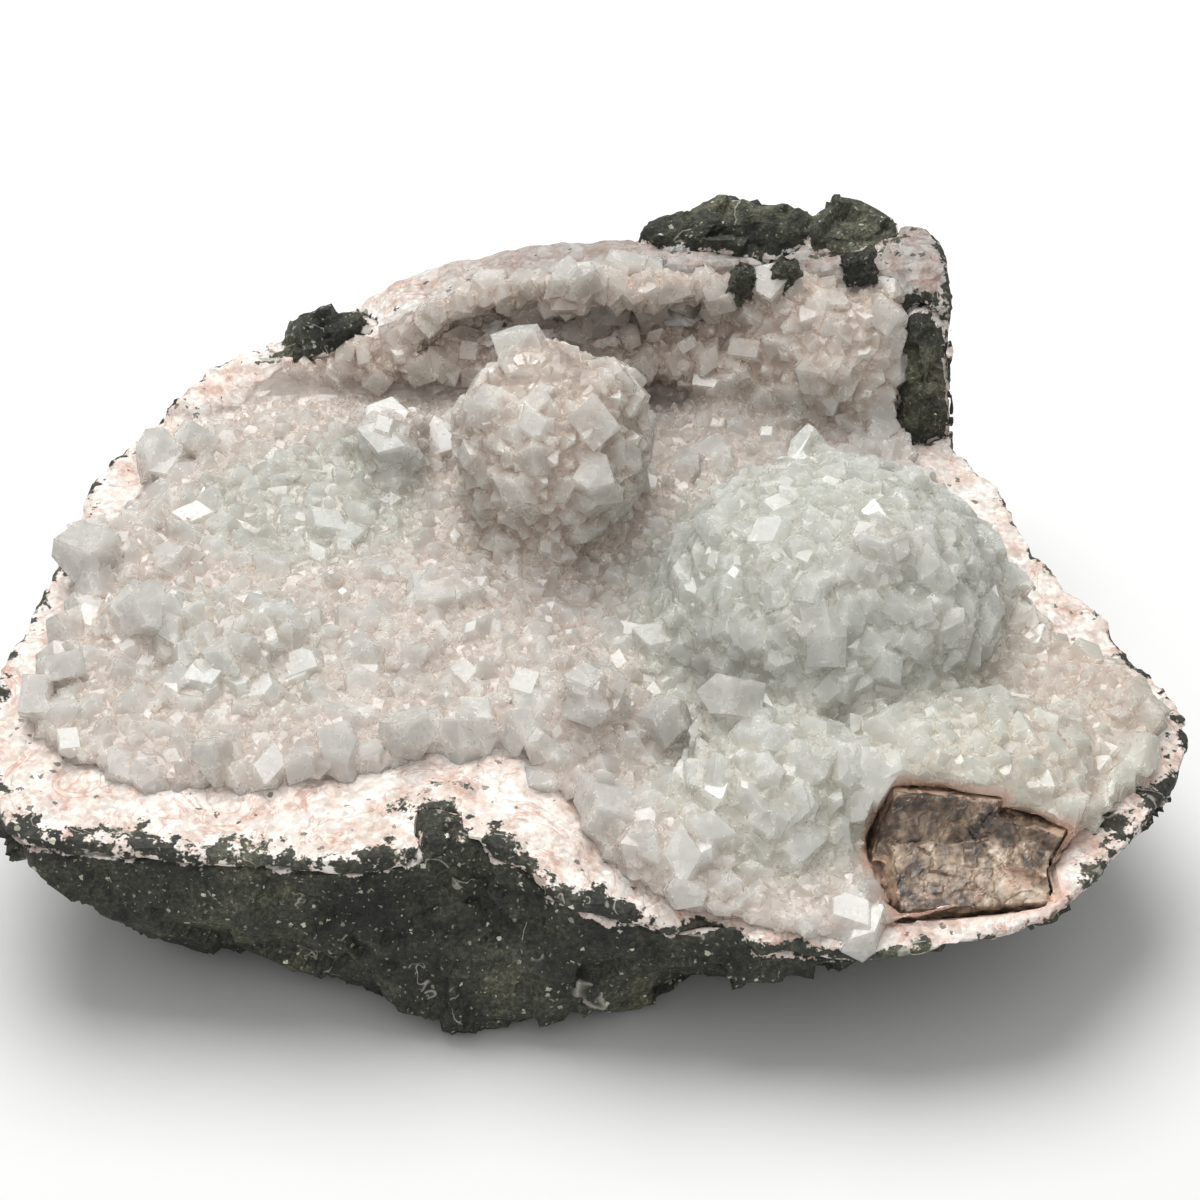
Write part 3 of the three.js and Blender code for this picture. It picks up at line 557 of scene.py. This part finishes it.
# Settings that a user would change.
class GeodeStone(bpy.types.PropertyGroup):
    basalt_voxel: bpy.props.FloatProperty(
        name="Basalt detail", description="Grid size of the basalt's mesh", default=1.5 * MM, unit="LENGTH")
    rind_voxel: bpy.props.FloatProperty(
        name="Rind detail", description="Grid size of the rind's mesh", default=1.4 * MM, unit="LENGTH")
    facet_size: bpy.props.FloatProperty(
        name="Facet size", description="Width of the basalt's broken facets", default=17 * MM, unit="LENGTH")
    facet_depth: bpy.props.FloatProperty(
        name="Facet depth", description="How far the broken facets stand in or out", default=2.2 * MM,
        unit="LENGTH")


class GeodeCrystals(bpy.types.PropertyGroup):
    seed: bpy.props.IntProperty(
        name="Seed", description="Changes where the crystals stand", default=11)
    crowding: bpy.props.FloatProperty(
        name="Crowding", description="Share of two half-widths that crystals keep apart", default=0.5,
        subtype="FACTOR")
    lean: bpy.props.FloatProperty(
        name="Lean", description="How far crystals lean away from the surface's normal", default=0.3,
        subtype="FACTOR")
    places: bpy.props.IntProperty(
        name="Places", description="How many places are tried for a crystal", default=60000)
    base_voxel: bpy.props.FloatProperty(
        name="Base detail", description="Grid size of the druse's base", default=2.6 * MM, unit="LENGTH")


class GeodeStage(bpy.types.PropertyGroup):
    distance: bpy.props.FloatProperty(
        name="Camera distance", description="From the camera to the aim point", default=0.7, unit="LENGTH")
    elevation: bpy.props.FloatProperty(
        name="Camera elevation", description="Angle of the camera above the floor",
        default=math.radians(40), subtype="ANGLE")
    aim: bpy.props.FloatVectorProperty(
        name="Aim", description="The point that the camera looks at", default=(3.6 * MM, -11.8 * MM, 60 * MM),
        subtype="XYZ")
    lens: bpy.props.FloatProperty(
        name="Lens", description="Focal length on a 36 mm sensor", default=82.5, unit="CAMERA")
    floor_colour: bpy.props.FloatVectorProperty(
        name="Floor colour", description="Colour of the plain floor", default=linear("#F4F4F3")[:3],
        subtype="COLOR")


def broken_surface(points, size, depth):
    """How far broken stone stands out at each point: large flat facets, small ones and grit."""
    return depth * (facet_noise(points, size, 1.6, seed=1)
                    + 0.42 * facet_noise(points, size * 0.36, 1.4, seed=21)
                    + 0.14 * smooth_noise(points, size * 0.12, seed=41))


# Distances in millimetres that stand for "far from the rind" and for how deep clinging rind lies.
FAR = 12.0
CLINGING_DEPTH = 4.0


def finish_basalt(piece, material, node, to_rind):
    """Keeps the distances that the clinging patches of rind need, and finishes the piece."""
    store(piece.data, "rind_distance", to_rind)
    store(piece.data, "basalt_distance", np.full(len(to_rind), CLINGING_DEPTH))
    finish_piece(piece, material, [node])


class OBJECT_OT_geode_basalt(bpy.types.Operator):
    """Makes the broken basalt and its three chips"""
    bl_idname = "object.geode_basalt"
    bl_label = "Basalt"

    def execute(self, context):
        stone = context.scene.geode_stone
        material = basalt_material()
        piece = remeshed("basalt", ["basalt_matrix"], stone.basalt_voxel)
        mesh = piece.data
        points = coordinates(mesh)
        to_rind = distance_mm(points, tree_of("pink_rind"), FAR)
        outward = broken_surface(points, stone.facet_size, stone.facet_depth)
        # The stone stays calm where it meets the rind.
        calm = np.clip((to_rind - 0.2) / 3.0, 0.12, 1.0)
        write_coordinates(mesh, points + normals(mesh) * (outward * calm)[:, None])
        finish_basalt(piece, material, "basalt_matrix", to_rind)
        for side in ("left", "middle", "right"):
            node = "basalt_chip_" + side
            chip = remeshed("chip_" + side, [node], 0.45 * MM)
            points = coordinates(chip.data)
            outward = broken_surface(points, 4.5 * MM, 0.9 * MM) - 0.3 * MM
            write_coordinates(chip.data, points + normals(chip.data) * outward[:, None])
            finish_basalt(chip, material, node, np.full(len(points), FAR))
        return {"FINISHED"}


# How far the dark basalt laps over the rind's outer edge, in millimetres: place, spread and lap.
LAPS = [
    {"at": (-95, -95), "spread": (50, 30), "lap": 7.5},
    {"at": (-33, -86), "spread": (11, 14), "lap": 15.0},
    {"at": (0, -95), "spread": (22, 20), "lap": 7.0},
    {"at": (135, -75), "spread": (25, 40), "lap": 8.0},
    {"at": (-140, 10), "spread": (16, 60), "lap": 4.5},
    {"at": (100, 100), "spread": (14, 40), "lap": 7.0},
]
LEAST_LAP = 2.0
# The outer side: its normals rise less than this, and it lies further out than this from the middle.
STEEP = 0.45
OUTER_RADIUS = 75 * MM


def edge_distance(mesh):
    """Distance over the rind from its steep outer side, as a share of how far basalt laps over it."""
    points = coordinates(mesh)
    facing = normals(mesh)
    outward = np.einsum("ij,ij->i", points[:, :2], facing[:, :2]) > 0
    radius = np.linalg.norm(points[:, :2], axis=1)
    side = np.nonzero((np.abs(facing[:, 2]) < STEEP) & outward & (radius > OUTER_RADIUS))[0]
    tree = point_tree(points[side])
    away = np.array([tree.find(p)[2] for p in points]) / MM
    lap = np.full(len(points), LEAST_LAP)
    for area in LAPS:
        offset = (points[:, :2] / MM - np.array(area["at"])) / np.array(area["spread"])
        lap += (area["lap"] - LEAST_LAP) * np.exp(-np.einsum("ij,ij->i", offset, offset))
    return away / lap


class OBJECT_OT_geode_rind(bpy.types.Operator):
    """Makes the granular pink rind"""
    bl_idname = "object.geode_rind"
    bl_label = "Rind"

    def execute(self, context):
        stone = context.scene.geode_stone
        piece = remeshed("rind", ["pink_rind"], stone.rind_voxel, 1)
        mesh = piece.data
        points = coordinates(mesh)
        grit = 0.9 * MM * smooth_noise(points, 6 * MM, 5) + 0.45 * MM * smooth_noise(points, 2.2 * MM, 6)
        to_calcite = distance_mm(points, tree_of("calcite_crystal"), 8.0)
        out = np.where(to_calcite < 2.0, -0.9 * MM, 0.25 * MM + grit)
        write_coordinates(mesh, points + normals(mesh) * out[:, None])
        store(mesh, "basalt_distance", distance_mm(points, tree_of("basalt_matrix"), 12.0))
        store(mesh, "edge_distance", edge_distance(mesh))
        store(mesh, "calcite_distance", to_calcite)
        finish_piece(piece, rind_material(), ["pink_rind"])
        return {"FINISHED"}


def cluster_of(points):
    """The index of the cluster that each point lies in, or -1 for the floor."""
    chosen = np.full(len(points), -1)
    closest = np.full(len(points), 1.0)
    for index, cluster in enumerate(CLUSTERS.values()):
        away = (points / MM - np.array(cluster["at"])) / np.array(cluster["half"])
        distance = np.linalg.norm(away, axis=1)
        nearer = distance < closest
        chosen = np.where(nearer, index, chosen)
        closest = np.where(nearer, distance, closest)
    return chosen


def cluster_values(chosen, key):
    """One of a cluster's values for each point."""
    rows = [FLOOR_CLUSTER[key]] + [cluster[key] for cluster in CLUSTERS.values()]
    return np.array(rows)[chosen + 1]


def crystal_widths(points, chosen, random):
    """A width in millimetres for a crystal at each point: few are large, most are small."""
    count = len(points)
    low, high = cluster_values(chosen, "small").T
    small = low + (high - low) * random.random(count) ** 2
    low, high = cluster_values(chosen, "large").T
    large = low + (high - low) * random.random(count) ** 1.5
    patches = 1 + 0.8 * smooth_noise(points, 26 * MM, 31)
    is_large = random.random(count) < cluster_values(chosen, "share") * patches
    widths = np.where(is_large, large, small)
    near_crevice = (points[:, 1] > CREVICE["y"][0] * MM) & (points[:, 2] < CREVICE["z"] * MM)
    return np.where(near_crevice, np.minimum(widths, CREVICE["width"]), widths)


# How clusters share their colours: the floor's weight, the share of a cluster's size that has its
# full colour, and how fast the colour fades outside it.
FLOOR_WEIGHT = 0.35
FULL_COLOUR = 0.75
COLOUR_FADE = 13.2


def blended_tint(points, key):
    """Cluster colours that blend into each other."""
    weights = np.full(len(points), FLOOR_WEIGHT)
    total = weights[:, None] * np.array(linear(FLOOR_CLUSTER[key]))
    for cluster in CLUSTERS.values():
        away = (points / MM - np.array(cluster["at"])) / np.array(cluster["half"])
        outside = np.maximum(np.linalg.norm(away, axis=1) - FULL_COLOUR, 0)
        weight = np.exp(-COLOUR_FADE * outside ** 2)
        total += weight[:, None] * np.array(linear(cluster[key]))
        weights += weight
    return total / weights[:, None]


def open_places(mesh, count, random):
    """Random points on the part of a mesh that faces open air, with their normals."""
    mesh.calc_loop_triangles()
    corners = np.empty(len(mesh.loop_triangles) * 3, np.int32)
    mesh.loop_triangles.foreach_get("vertices", corners)
    a, b, c = (coordinates(mesh)[corners.reshape(-1, 3)[:, k]] for k in range(3))
    cross = np.cross(b - a, c - a)
    area = np.linalg.norm(cross, axis=1)
    chosen = random.choice(len(area), count, p=area / area.sum())
    u, v = random.random(count), random.random(count)
    flip = u + v > 1
    u, v = np.where(flip, 1 - u, u), np.where(flip, 1 - v, v)
    points = a[chosen] + u[:, None] * (b - a)[chosen] + v[:, None] * (c - a)[chosen]
    facing = cross[chosen] / np.maximum(area[chosen], 1e-12)[:, None]
    stone = tree_of("pink_rind", "basalt_matrix", "calcite_crystal")
    is_open = np.array([
        stone.ray_cast(Vector(p - 0.5 * MM * n), Vector(n), OPEN_AIR)[0] is None
        and stone.find_nearest(Vector(p), STONE_GAP)[3] is None
        for p, n in zip(points, facing)])
    in_crevice = (points[:, 1] > CREVICE["y"][1] * MM) & (points[:, 2] < CREVICE["z"] * MM)
    is_open &= ~in_crevice
    return points[is_open], facing[is_open]


def spaced(points, widths, crowding):
    """Which of the points are kept when the widest go first and none stands too near another."""
    # A cell is at least as wide as the widest gap, so that only its neighbours need a look.
    cell = 9 * MM
    grid = {}
    kept = []
    keys = np.floor(points / cell).astype(int)
    for i in np.argsort(-widths, kind="stable"):
        key = keys[i]
        clear = True
        for step in product((-1, 0, 1), repeat=3):
            for j in grid.get((key[0] + step[0], key[1] + step[1], key[2] + step[2]), ()):
                limit = crowding * (widths[i] + widths[j]) / 2
                gap = points[i] - points[j]
                if gap[0] * gap[0] + gap[1] * gap[1] + gap[2] * gap[2] < limit * limit:
                    clear = False
                    break
            if not clear:
                break
        if clear:
            grid.setdefault(tuple(key), []).append(i)
            kept.append(i)
    return np.array(kept)


# A tetragonal crystal's corners are root, shoulder, mid-face and top, four of each, in this order.
CRYSTAL_FACES = (
    [[k, (k + 1) % 4, 4 + (k + 1) % 4, 8 + k, 4 + k] for k in range(4)]
    + [[8 + (k - 1) % 4, 4 + k, 8 + k, 12 + k, 12 + (k - 1) % 4] for k in range(4)]
    + [[12, 13, 14, 15], [3, 2, 1, 0]])
PYRAMID_RISE = 0.62
ROOT_DEPTH = 0.55
ROOT_TAPER = 0.9
# Shapes of the crystals: height over the surface and width of the flat tip, as shares of the width.
HABITS = [(0.22, 0.35), (0.28, 0.2), (0.32, 0.1), (0.36, 0.3), (0.42, 0.04), (0.48, 0.15), (0.58, 0.04)]


def crystal_shape(name, height, flat):
    """One tetragonal prism of width 1, closed by a four-sided pyramid with a flat or sharp tip."""
    shoulder = height - PYRAMID_RISE * (2 - flat)
    root = min(shoulder, 0) - ROOT_DEPTH
    corners = []
    for radius, turn, z in (
            (ROOT_TAPER / math.sqrt(2), 0.5, root), (1 / math.sqrt(2), 0.5, shoulder),
            (0.5, 1.0, shoulder + PYRAMID_RISE), (0.5 * flat + 0.005, 1.0, height)):
        for k in range(4):
            angle = (turn + k) * math.pi / 2
            corners.append((radius * math.cos(angle), radius * math.sin(angle), z))
    mesh = bpy.data.meshes.new(name)
    mesh.from_pydata(corners, [], CRYSTAL_FACES)
    return bpy.data.objects.new(name, mesh)


def grown_together(name, base, shapes, places, cutter):
    """One closed surface around the base and a crystal at each place, less the cutter."""
    tree = bpy.data.node_groups.new(name, "GeometryNodeTree")
    for side in ("INPUT", "OUTPUT"):
        tree.interface.new_socket("Geometry", in_out=side, socket_type="NodeSocketGeometry")
    collection = bpy.data.collections.new(name)
    for shape in shapes:
        collection.objects.link(shape)
    mesh = bpy.data.meshes.new(name)
    mesh.from_pydata(places["at"].tolist(), [], [])
    for key, kind in (("turn", "FLOAT_VECTOR"), ("size", "FLOAT_VECTOR"), ("pick", "INT")):
        layer = mesh.attributes.new(key, kind, "POINT")
        layer.data.foreach_set("value" if kind == "INT" else "vector", places[key].ravel())
    start = add(tree, "NodeGroupInput")
    turn = add(tree, "GeometryNodeInputNamedAttribute", {"data_type": "FLOAT_VECTOR", "Name": "turn"})
    size = add(tree, "GeometryNodeInputNamedAttribute", {"data_type": "FLOAT_VECTOR", "Name": "size"})
    pick = add(tree, "GeometryNodeInputNamedAttribute", {"data_type": "INT", "Name": "pick"})
    kinds = add(tree, "GeometryNodeCollectionInfo",
                {"Collection": collection, "Separate Children": True, "Reset Children": True})
    crystals = add(tree, "GeometryNodeInstanceOnPoints", {"Pick Instance": True}, {
        "Points": start.outputs[0], "Instance": kinds.outputs[0], "Instance Index": pick.outputs[0],
        "Rotation": turn.outputs[0], "Scale": size.outputs[0]})
    ground = add(tree, "GeometryNodeObjectInfo", {"Object": base})
    whole = add(tree, "GeometryNodeMeshBoolean", {"operation": "UNION", "solver": "MANIFOLD"},
                {"Mesh 2": crystals.outputs[0]})
    tree.links.new(ground.outputs["Geometry"], whole.inputs["Mesh 2"])
    tool = add(tree, "GeometryNodeObjectInfo", {"Object": cutter})
    rest = add(tree, "GeometryNodeMeshBoolean", {"operation": "DIFFERENCE", "solver": "MANIFOLD"},
               {"Mesh 1": whole.outputs[0], "Mesh 2": tool.outputs["Geometry"]})
    add(tree, "NodeGroupOutput", links={0: rest.outputs[0]})
    holder = new_object(name, mesh)
    holder.modifiers.new(name, "NODES").node_group = tree
    graph = bpy.context.evaluated_depsgraph_get()
    grown = bpy.data.meshes.new_from_object(holder.evaluated_get(graph))
    grown.materials.clear()
    for piece in (holder, base, cutter, *shapes):
        bpy.data.objects.remove(piece)
    bpy.data.collections.remove(collection)
    bpy.data.node_groups.remove(tree)
    return grown


def room_round(name, node, gap):
    """A closed block that is a little larger all round than a CAD node."""
    piece = remeshed(name, [node], 1.0 * MM)
    points = coordinates(piece.data)
    write_coordinates(piece.data, points + normals(piece.data) * gap)
    return piece


def druse_base(voxel):
    """The crust under the crystals, smoothed and then lumpy."""
    base = remeshed("druse_base", ["apophyllite_druse"], voxel, BASE_SMOOTHING)
    points = coordinates(base.data)
    lumps = 0.9 * smooth_noise(points, 7 * MM, 8) + 0.5 * facet_noise(points, 5 * MM, 1.4, 9) - 0.1
    write_coordinates(base.data, points + normals(base.data) * lumps[:, None] * MM)
    return base


def scattered_crystals(base, settings, random):
    """Place, axis, cluster, width and habit of each crystal that has room and stays in the box."""
    points, facing = open_places(base.data, settings.places, random)
    chosen = cluster_of(points)
    widths = crystal_widths(points, chosen, random) * MM
    marks = np.array([mark["at"] for mark in LANDMARKS]) * MM
    mark_widths = np.array([mark["width"] for mark in LANDMARKS]) * MM
    kept = spaced(np.concatenate([marks, points]), np.concatenate([mark_widths * 1.2, widths]),
                  settings.crowding)
    kept = kept[kept >= len(marks)] - len(marks)
    to_calcite = distance_mm(points[kept], tree_of("calcite_crystal"), FAR) * MM
    kept = kept[to_calcite > 0.5 * widths[kept] + CALCITE_ROOM]
    points, facing, chosen, widths = points[kept], facing[kept], chosen[kept], widths[kept]
    axes = facing + settings.lean * random.normal(size=points.shape)
    axes /= np.linalg.norm(axes, axis=1)[:, None]
    picks = random.integers(0, len(HABITS), len(points))
    tips = points + axes * widths[:, None] * np.array(HABITS)[picks, :1]
    low, high = (np.array(corner) for corner in CAD_BOX)
    fits = np.all((tips - 0.7 * widths[:, None] > low) & (tips + 0.7 * widths[:, None] < high), axis=1)
    return [values[fits] for values in (points, axes, chosen, widths, picks)]


def with_landmarks(points, axes, chosen, widths, picks, random):
    """The landmarks and then the scattered crystals, as places for the instances."""
    count = len(LANDMARKS)
    spins = random.random(len(points) + count) * math.tau
    points = np.concatenate([np.array([mark["at"] for mark in LANDMARKS]) * MM, points])
    axes = np.concatenate([np.array([mark["towards"] for mark in LANDMARKS], float), axes])
    widths = np.concatenate([np.array([mark["width"] for mark in LANDMARKS]) * MM, widths])
    picks = np.concatenate([len(HABITS) + np.arange(count), picks])
    turns = np.array([
        (Vector(axis).to_track_quat("Z", "Y") @ Quaternion((0, 0, 1), spin)).to_euler()
        for axis, spin in zip(axes, spins)])
    sizes = widths[:, None] * (1 + UNEVEN * random.normal(size=(len(points), 3)).clip(-1.5, 1.5))
    sizes[:, 2] *= np.concatenate([np.ones(count), cluster_values(chosen, "rise")])
    return {"at": points, "turn": turns.astype(np.float32), "size": sizes.astype(np.float32),
            "pick": picks.astype(np.int32)}


def crystal_shapes():
    """One object for each habit, and then one for each landmark."""
    shapes = [crystal_shape("habit_%02d" % i, *habit) for i, habit in enumerate(HABITS)]
    for i, mark in enumerate(LANDMARKS):
        shapes.append(crystal_shape("single_%02d" % i, mark["height"] / mark["width"], mark["flat"]))
    return shapes


def crystal_colours_and_root_shade(corners, ground, points, random):
    """A colour for each corner: milky at the tips, darker down between the crystals, which is partly the
    sugary base's colour and partly painted shade.
    """
    tree = point_tree(points)
    nearest = np.array([tree.find(corner)[1] for corner in corners])
    shade = 0.94 + 0.1 * random.random(len(points))
    rise = distance_mm(corners, ground, 5.0)
    # Below TIP_RISE the darker base colour takes over: partly the sugary base seen through the crystals,
    # partly painted shade between them.
    share = np.clip((rise - 0.1) / TIP_RISE, 0, 1)[:, None]
    colours = blended_tint(corners, "base") * (1 - share) + blended_tint(corners, "tint") * share
    to_calcite = distance_mm(corners, tree_of("calcite_crystal"), 8.0)
    stain = np.clip((STAIN_REACH - to_calcite) / 3.0, 0, 0.6)[:, None]
    colours = colours * (1 - stain) + np.array(linear(CALCITE_STAIN)) * stain
    colours[:, :3] *= shade[nearest][:, None]
    return colours


class OBJECT_OT_geode_druse(bpy.types.Operator):
    """Grows the apophyllite crystals and joins them with the base that they stand on"""
    bl_idname = "object.geode_druse"
    bl_label = "Druse"

    def execute(self, context):
        settings = context.scene.geode_crystals
        random = np.random.default_rng(settings.seed)
        base = druse_base(settings.base_voxel)
        ground = BVHTree.FromPolygons([v.co.copy() for v in base.data.vertices],
                                      [tuple(face.vertices) for face in base.data.polygons])
        places = with_landmarks(*scattered_crystals(base, settings, random), random)
        room = room_round("room", "calcite_crystal", CALCITE_ROOM)
        grown = grown_together("druse", base, crystal_shapes(), places, room)
        write_coordinates(grown, coordinates(grown))
        colours = crystal_colours_and_root_shade(coordinates(grown), ground, places["at"], random)
        layer = grown.attributes.new("tint", "FLOAT_COLOR", "POINT")
        layer.data.foreach_set("color", colours.astype(np.float32).ravel())
        piece = new_object("druse", grown)
        finish_piece(piece, apophyllite_material(), ["apophyllite_druse"])
        return {"FINISHED"}


class OBJECT_OT_geode_calcite(bpy.types.Operator):
    """Makes the cleaved calcite crystal"""
    bl_idname = "object.geode_calcite"
    bl_label = "Calcite"

    def execute(self, context):
        piece = remeshed("calcite", ["calcite_crystal"], 0.5 * MM)
        mesh = piece.data
        points = coordinates(mesh)
        steps = (facet_noise(points, 9 * MM, 0.7, 61) + 0.5 * facet_noise(points, 3.2 * MM, 0.8, 71)
                 + 0.2 * smooth_noise(points, 1.2 * MM, 81))
        write_coordinates(mesh, points + normals(mesh) * (0.75 * MM * steps - 0.1 * MM)[:, None])
        store(mesh, "rind_distance", distance_mm(points, tree_of("pink_rind", "apophyllite_druse"), 8.0))
        finish_piece(piece, calcite_material(), ["calcite_crystal"])
        return {"FINISHED"}


def plain_floor(colour):
    """A wide pale floor under the stone."""
    mesh = bpy.data.meshes.new("floor")
    corners = [(x * FLOOR_REACH, y * FLOOR_REACH, 0) for x, y in ((-1, -1), (1, -1), (1, 1), (-1, 1))]
    mesh.from_pydata(corners, [], [(0, 1, 2, 3)])
    material, tree = new_material("plain_floor")
    finish_material(tree, {"Base Color": (*colour, 1.0), "Roughness": 0.9}, {})
    mesh.materials.append(material)
    floor = new_object("floor", mesh)
    return floor


def soft_room(scene):
    """A white surround that is weak at the horizon and stronger overhead."""
    scene.world = bpy.data.worlds.new("soft_room")
    scene.world.use_nodes = True
    tree = scene.world.node_tree
    background = tree.nodes["Background"]
    background.inputs["Color"].default_value = (1.0, 1.0, 1.0, 1.0)
    direction = add(tree, "ShaderNodeTexCoord").outputs["Generated"]
    split = add(tree, "ShaderNodeSeparateXYZ", links={0: direction})
    strength = add(tree, "ShaderNodeMapRange", {"From Min": 0.0, "From Max": 0.8, "To Min": 0.1,
                                                "To Max": 0.6}, {"Value": split.outputs["Z"]})
    tree.links.new(strength.outputs[0], background.inputs["Strength"])


def soft_lights(scene, aim, floor):
    """The area lights. Those that leave the floor out keep the stone's shadow dark."""
    stone = bpy.data.collections.new("stone")
    for piece in scene.objects:
        if piece.type == "MESH" and piece is not floor:
            stone.objects.link(piece)
    for name, place, size, power, on_floor in LIGHTS:
        lamp = bpy.data.lights.new(name, "AREA")
        lamp.shape = "DISK"
        lamp.size = size
        lamp.energy = power
        light = bpy.data.objects.new(name, lamp)
        light.location = place
        light.rotation_euler = (aim - light.location).to_track_quat("-Z", "Y").to_euler()
        scene.collection.objects.link(light)
        if not on_floor:
            light.light_linking.receiver_collection = stone


def photo_camera(scene, stage, aim):
    """The camera at the photograph's angle."""
    data = bpy.data.cameras.new("camera")
    data.sensor_width = 36.0
    data.lens = stage.lens
    data.clip_start = 0.05
    camera = bpy.data.objects.new("camera", data)
    back = Vector((0.0, -math.cos(stage.elevation), math.sin(stage.elevation)))
    camera.location = aim + back * stage.distance
    camera.rotation_euler = (-back).to_track_quat("-Z", "Y").to_euler()
    scene.collection.objects.link(camera)
    scene.camera = camera


class OBJECT_OT_geode_stage(bpy.types.Operator):
    """Makes the floor, the lights and the camera"""
    bl_idname = "object.geode_stage"
    bl_label = "Stage"

    def execute(self, context):
        scene = context.scene
        stage = scene.geode_stage
        aim = Vector(stage.aim)
        floor = plain_floor(stage.floor_colour)
        soft_room(scene)
        soft_lights(scene, aim, floor)
        photo_camera(scene, stage, aim)
        scene.view_settings.view_transform = "Standard"
        # Light that has crossed a few crystals adds little, and following it further takes minutes.
        scene.cycles.max_bounces = 4
        scene.cycles.diffuse_bounces = 2
        scene.cycles.glossy_bounces = 2
        scene.cycles.transmission_bounces = 3
        scene.cycles.adaptive_threshold = 0.08
        return {"FINISHED"}


OPERATORS = (
    OBJECT_OT_geode_basalt,
    OBJECT_OT_geode_rind,
    OBJECT_OT_geode_druse,
    OBJECT_OT_geode_calcite,
    OBJECT_OT_geode_stage,
)


class VIEW3D_PT_geode(bpy.types.Panel):
    """Lists the geode's pieces and settings"""
    bl_label = "Apophyllite Geode"
    bl_space_type = "VIEW_3D"
    bl_region_type = "UI"
    bl_category = "Geode"

    def draw(self, context):
        scene = context.scene
        for operator in OPERATORS:
            self.layout.operator(operator.bl_idname)
        for group in (scene.geode_stone, scene.geode_crystals, scene.geode_stage):
            box = self.layout.box()
            for name in group.__annotations__:
                box.prop(group, name)


CLASSES = (GeodeStone, GeodeCrystals, GeodeStage, *OPERATORS, VIEW3D_PT_geode)
GROUPS = {"geode_stone": GeodeStone, "geode_crystals": GeodeCrystals, "geode_stage": GeodeStage}


def register():
    for cls in CLASSES:
        bpy.utils.register_class(cls)
    for name, group in GROUPS.items():
        setattr(bpy.types.Scene, name, bpy.props.PointerProperty(type=group))


def unregister():
    for name in GROUPS:
        delattr(bpy.types.Scene, name)
    for cls in reversed(CLASSES):
        bpy.utils.unregister_class(cls)


def main():
    register()
    bpy.ops.object.geode_basalt()
    bpy.ops.object.geode_rind()
    bpy.ops.object.geode_druse()
    bpy.ops.object.geode_calcite()
    bpy.ops.object.geode_stage()


if __name__ == "__main__":
    main()
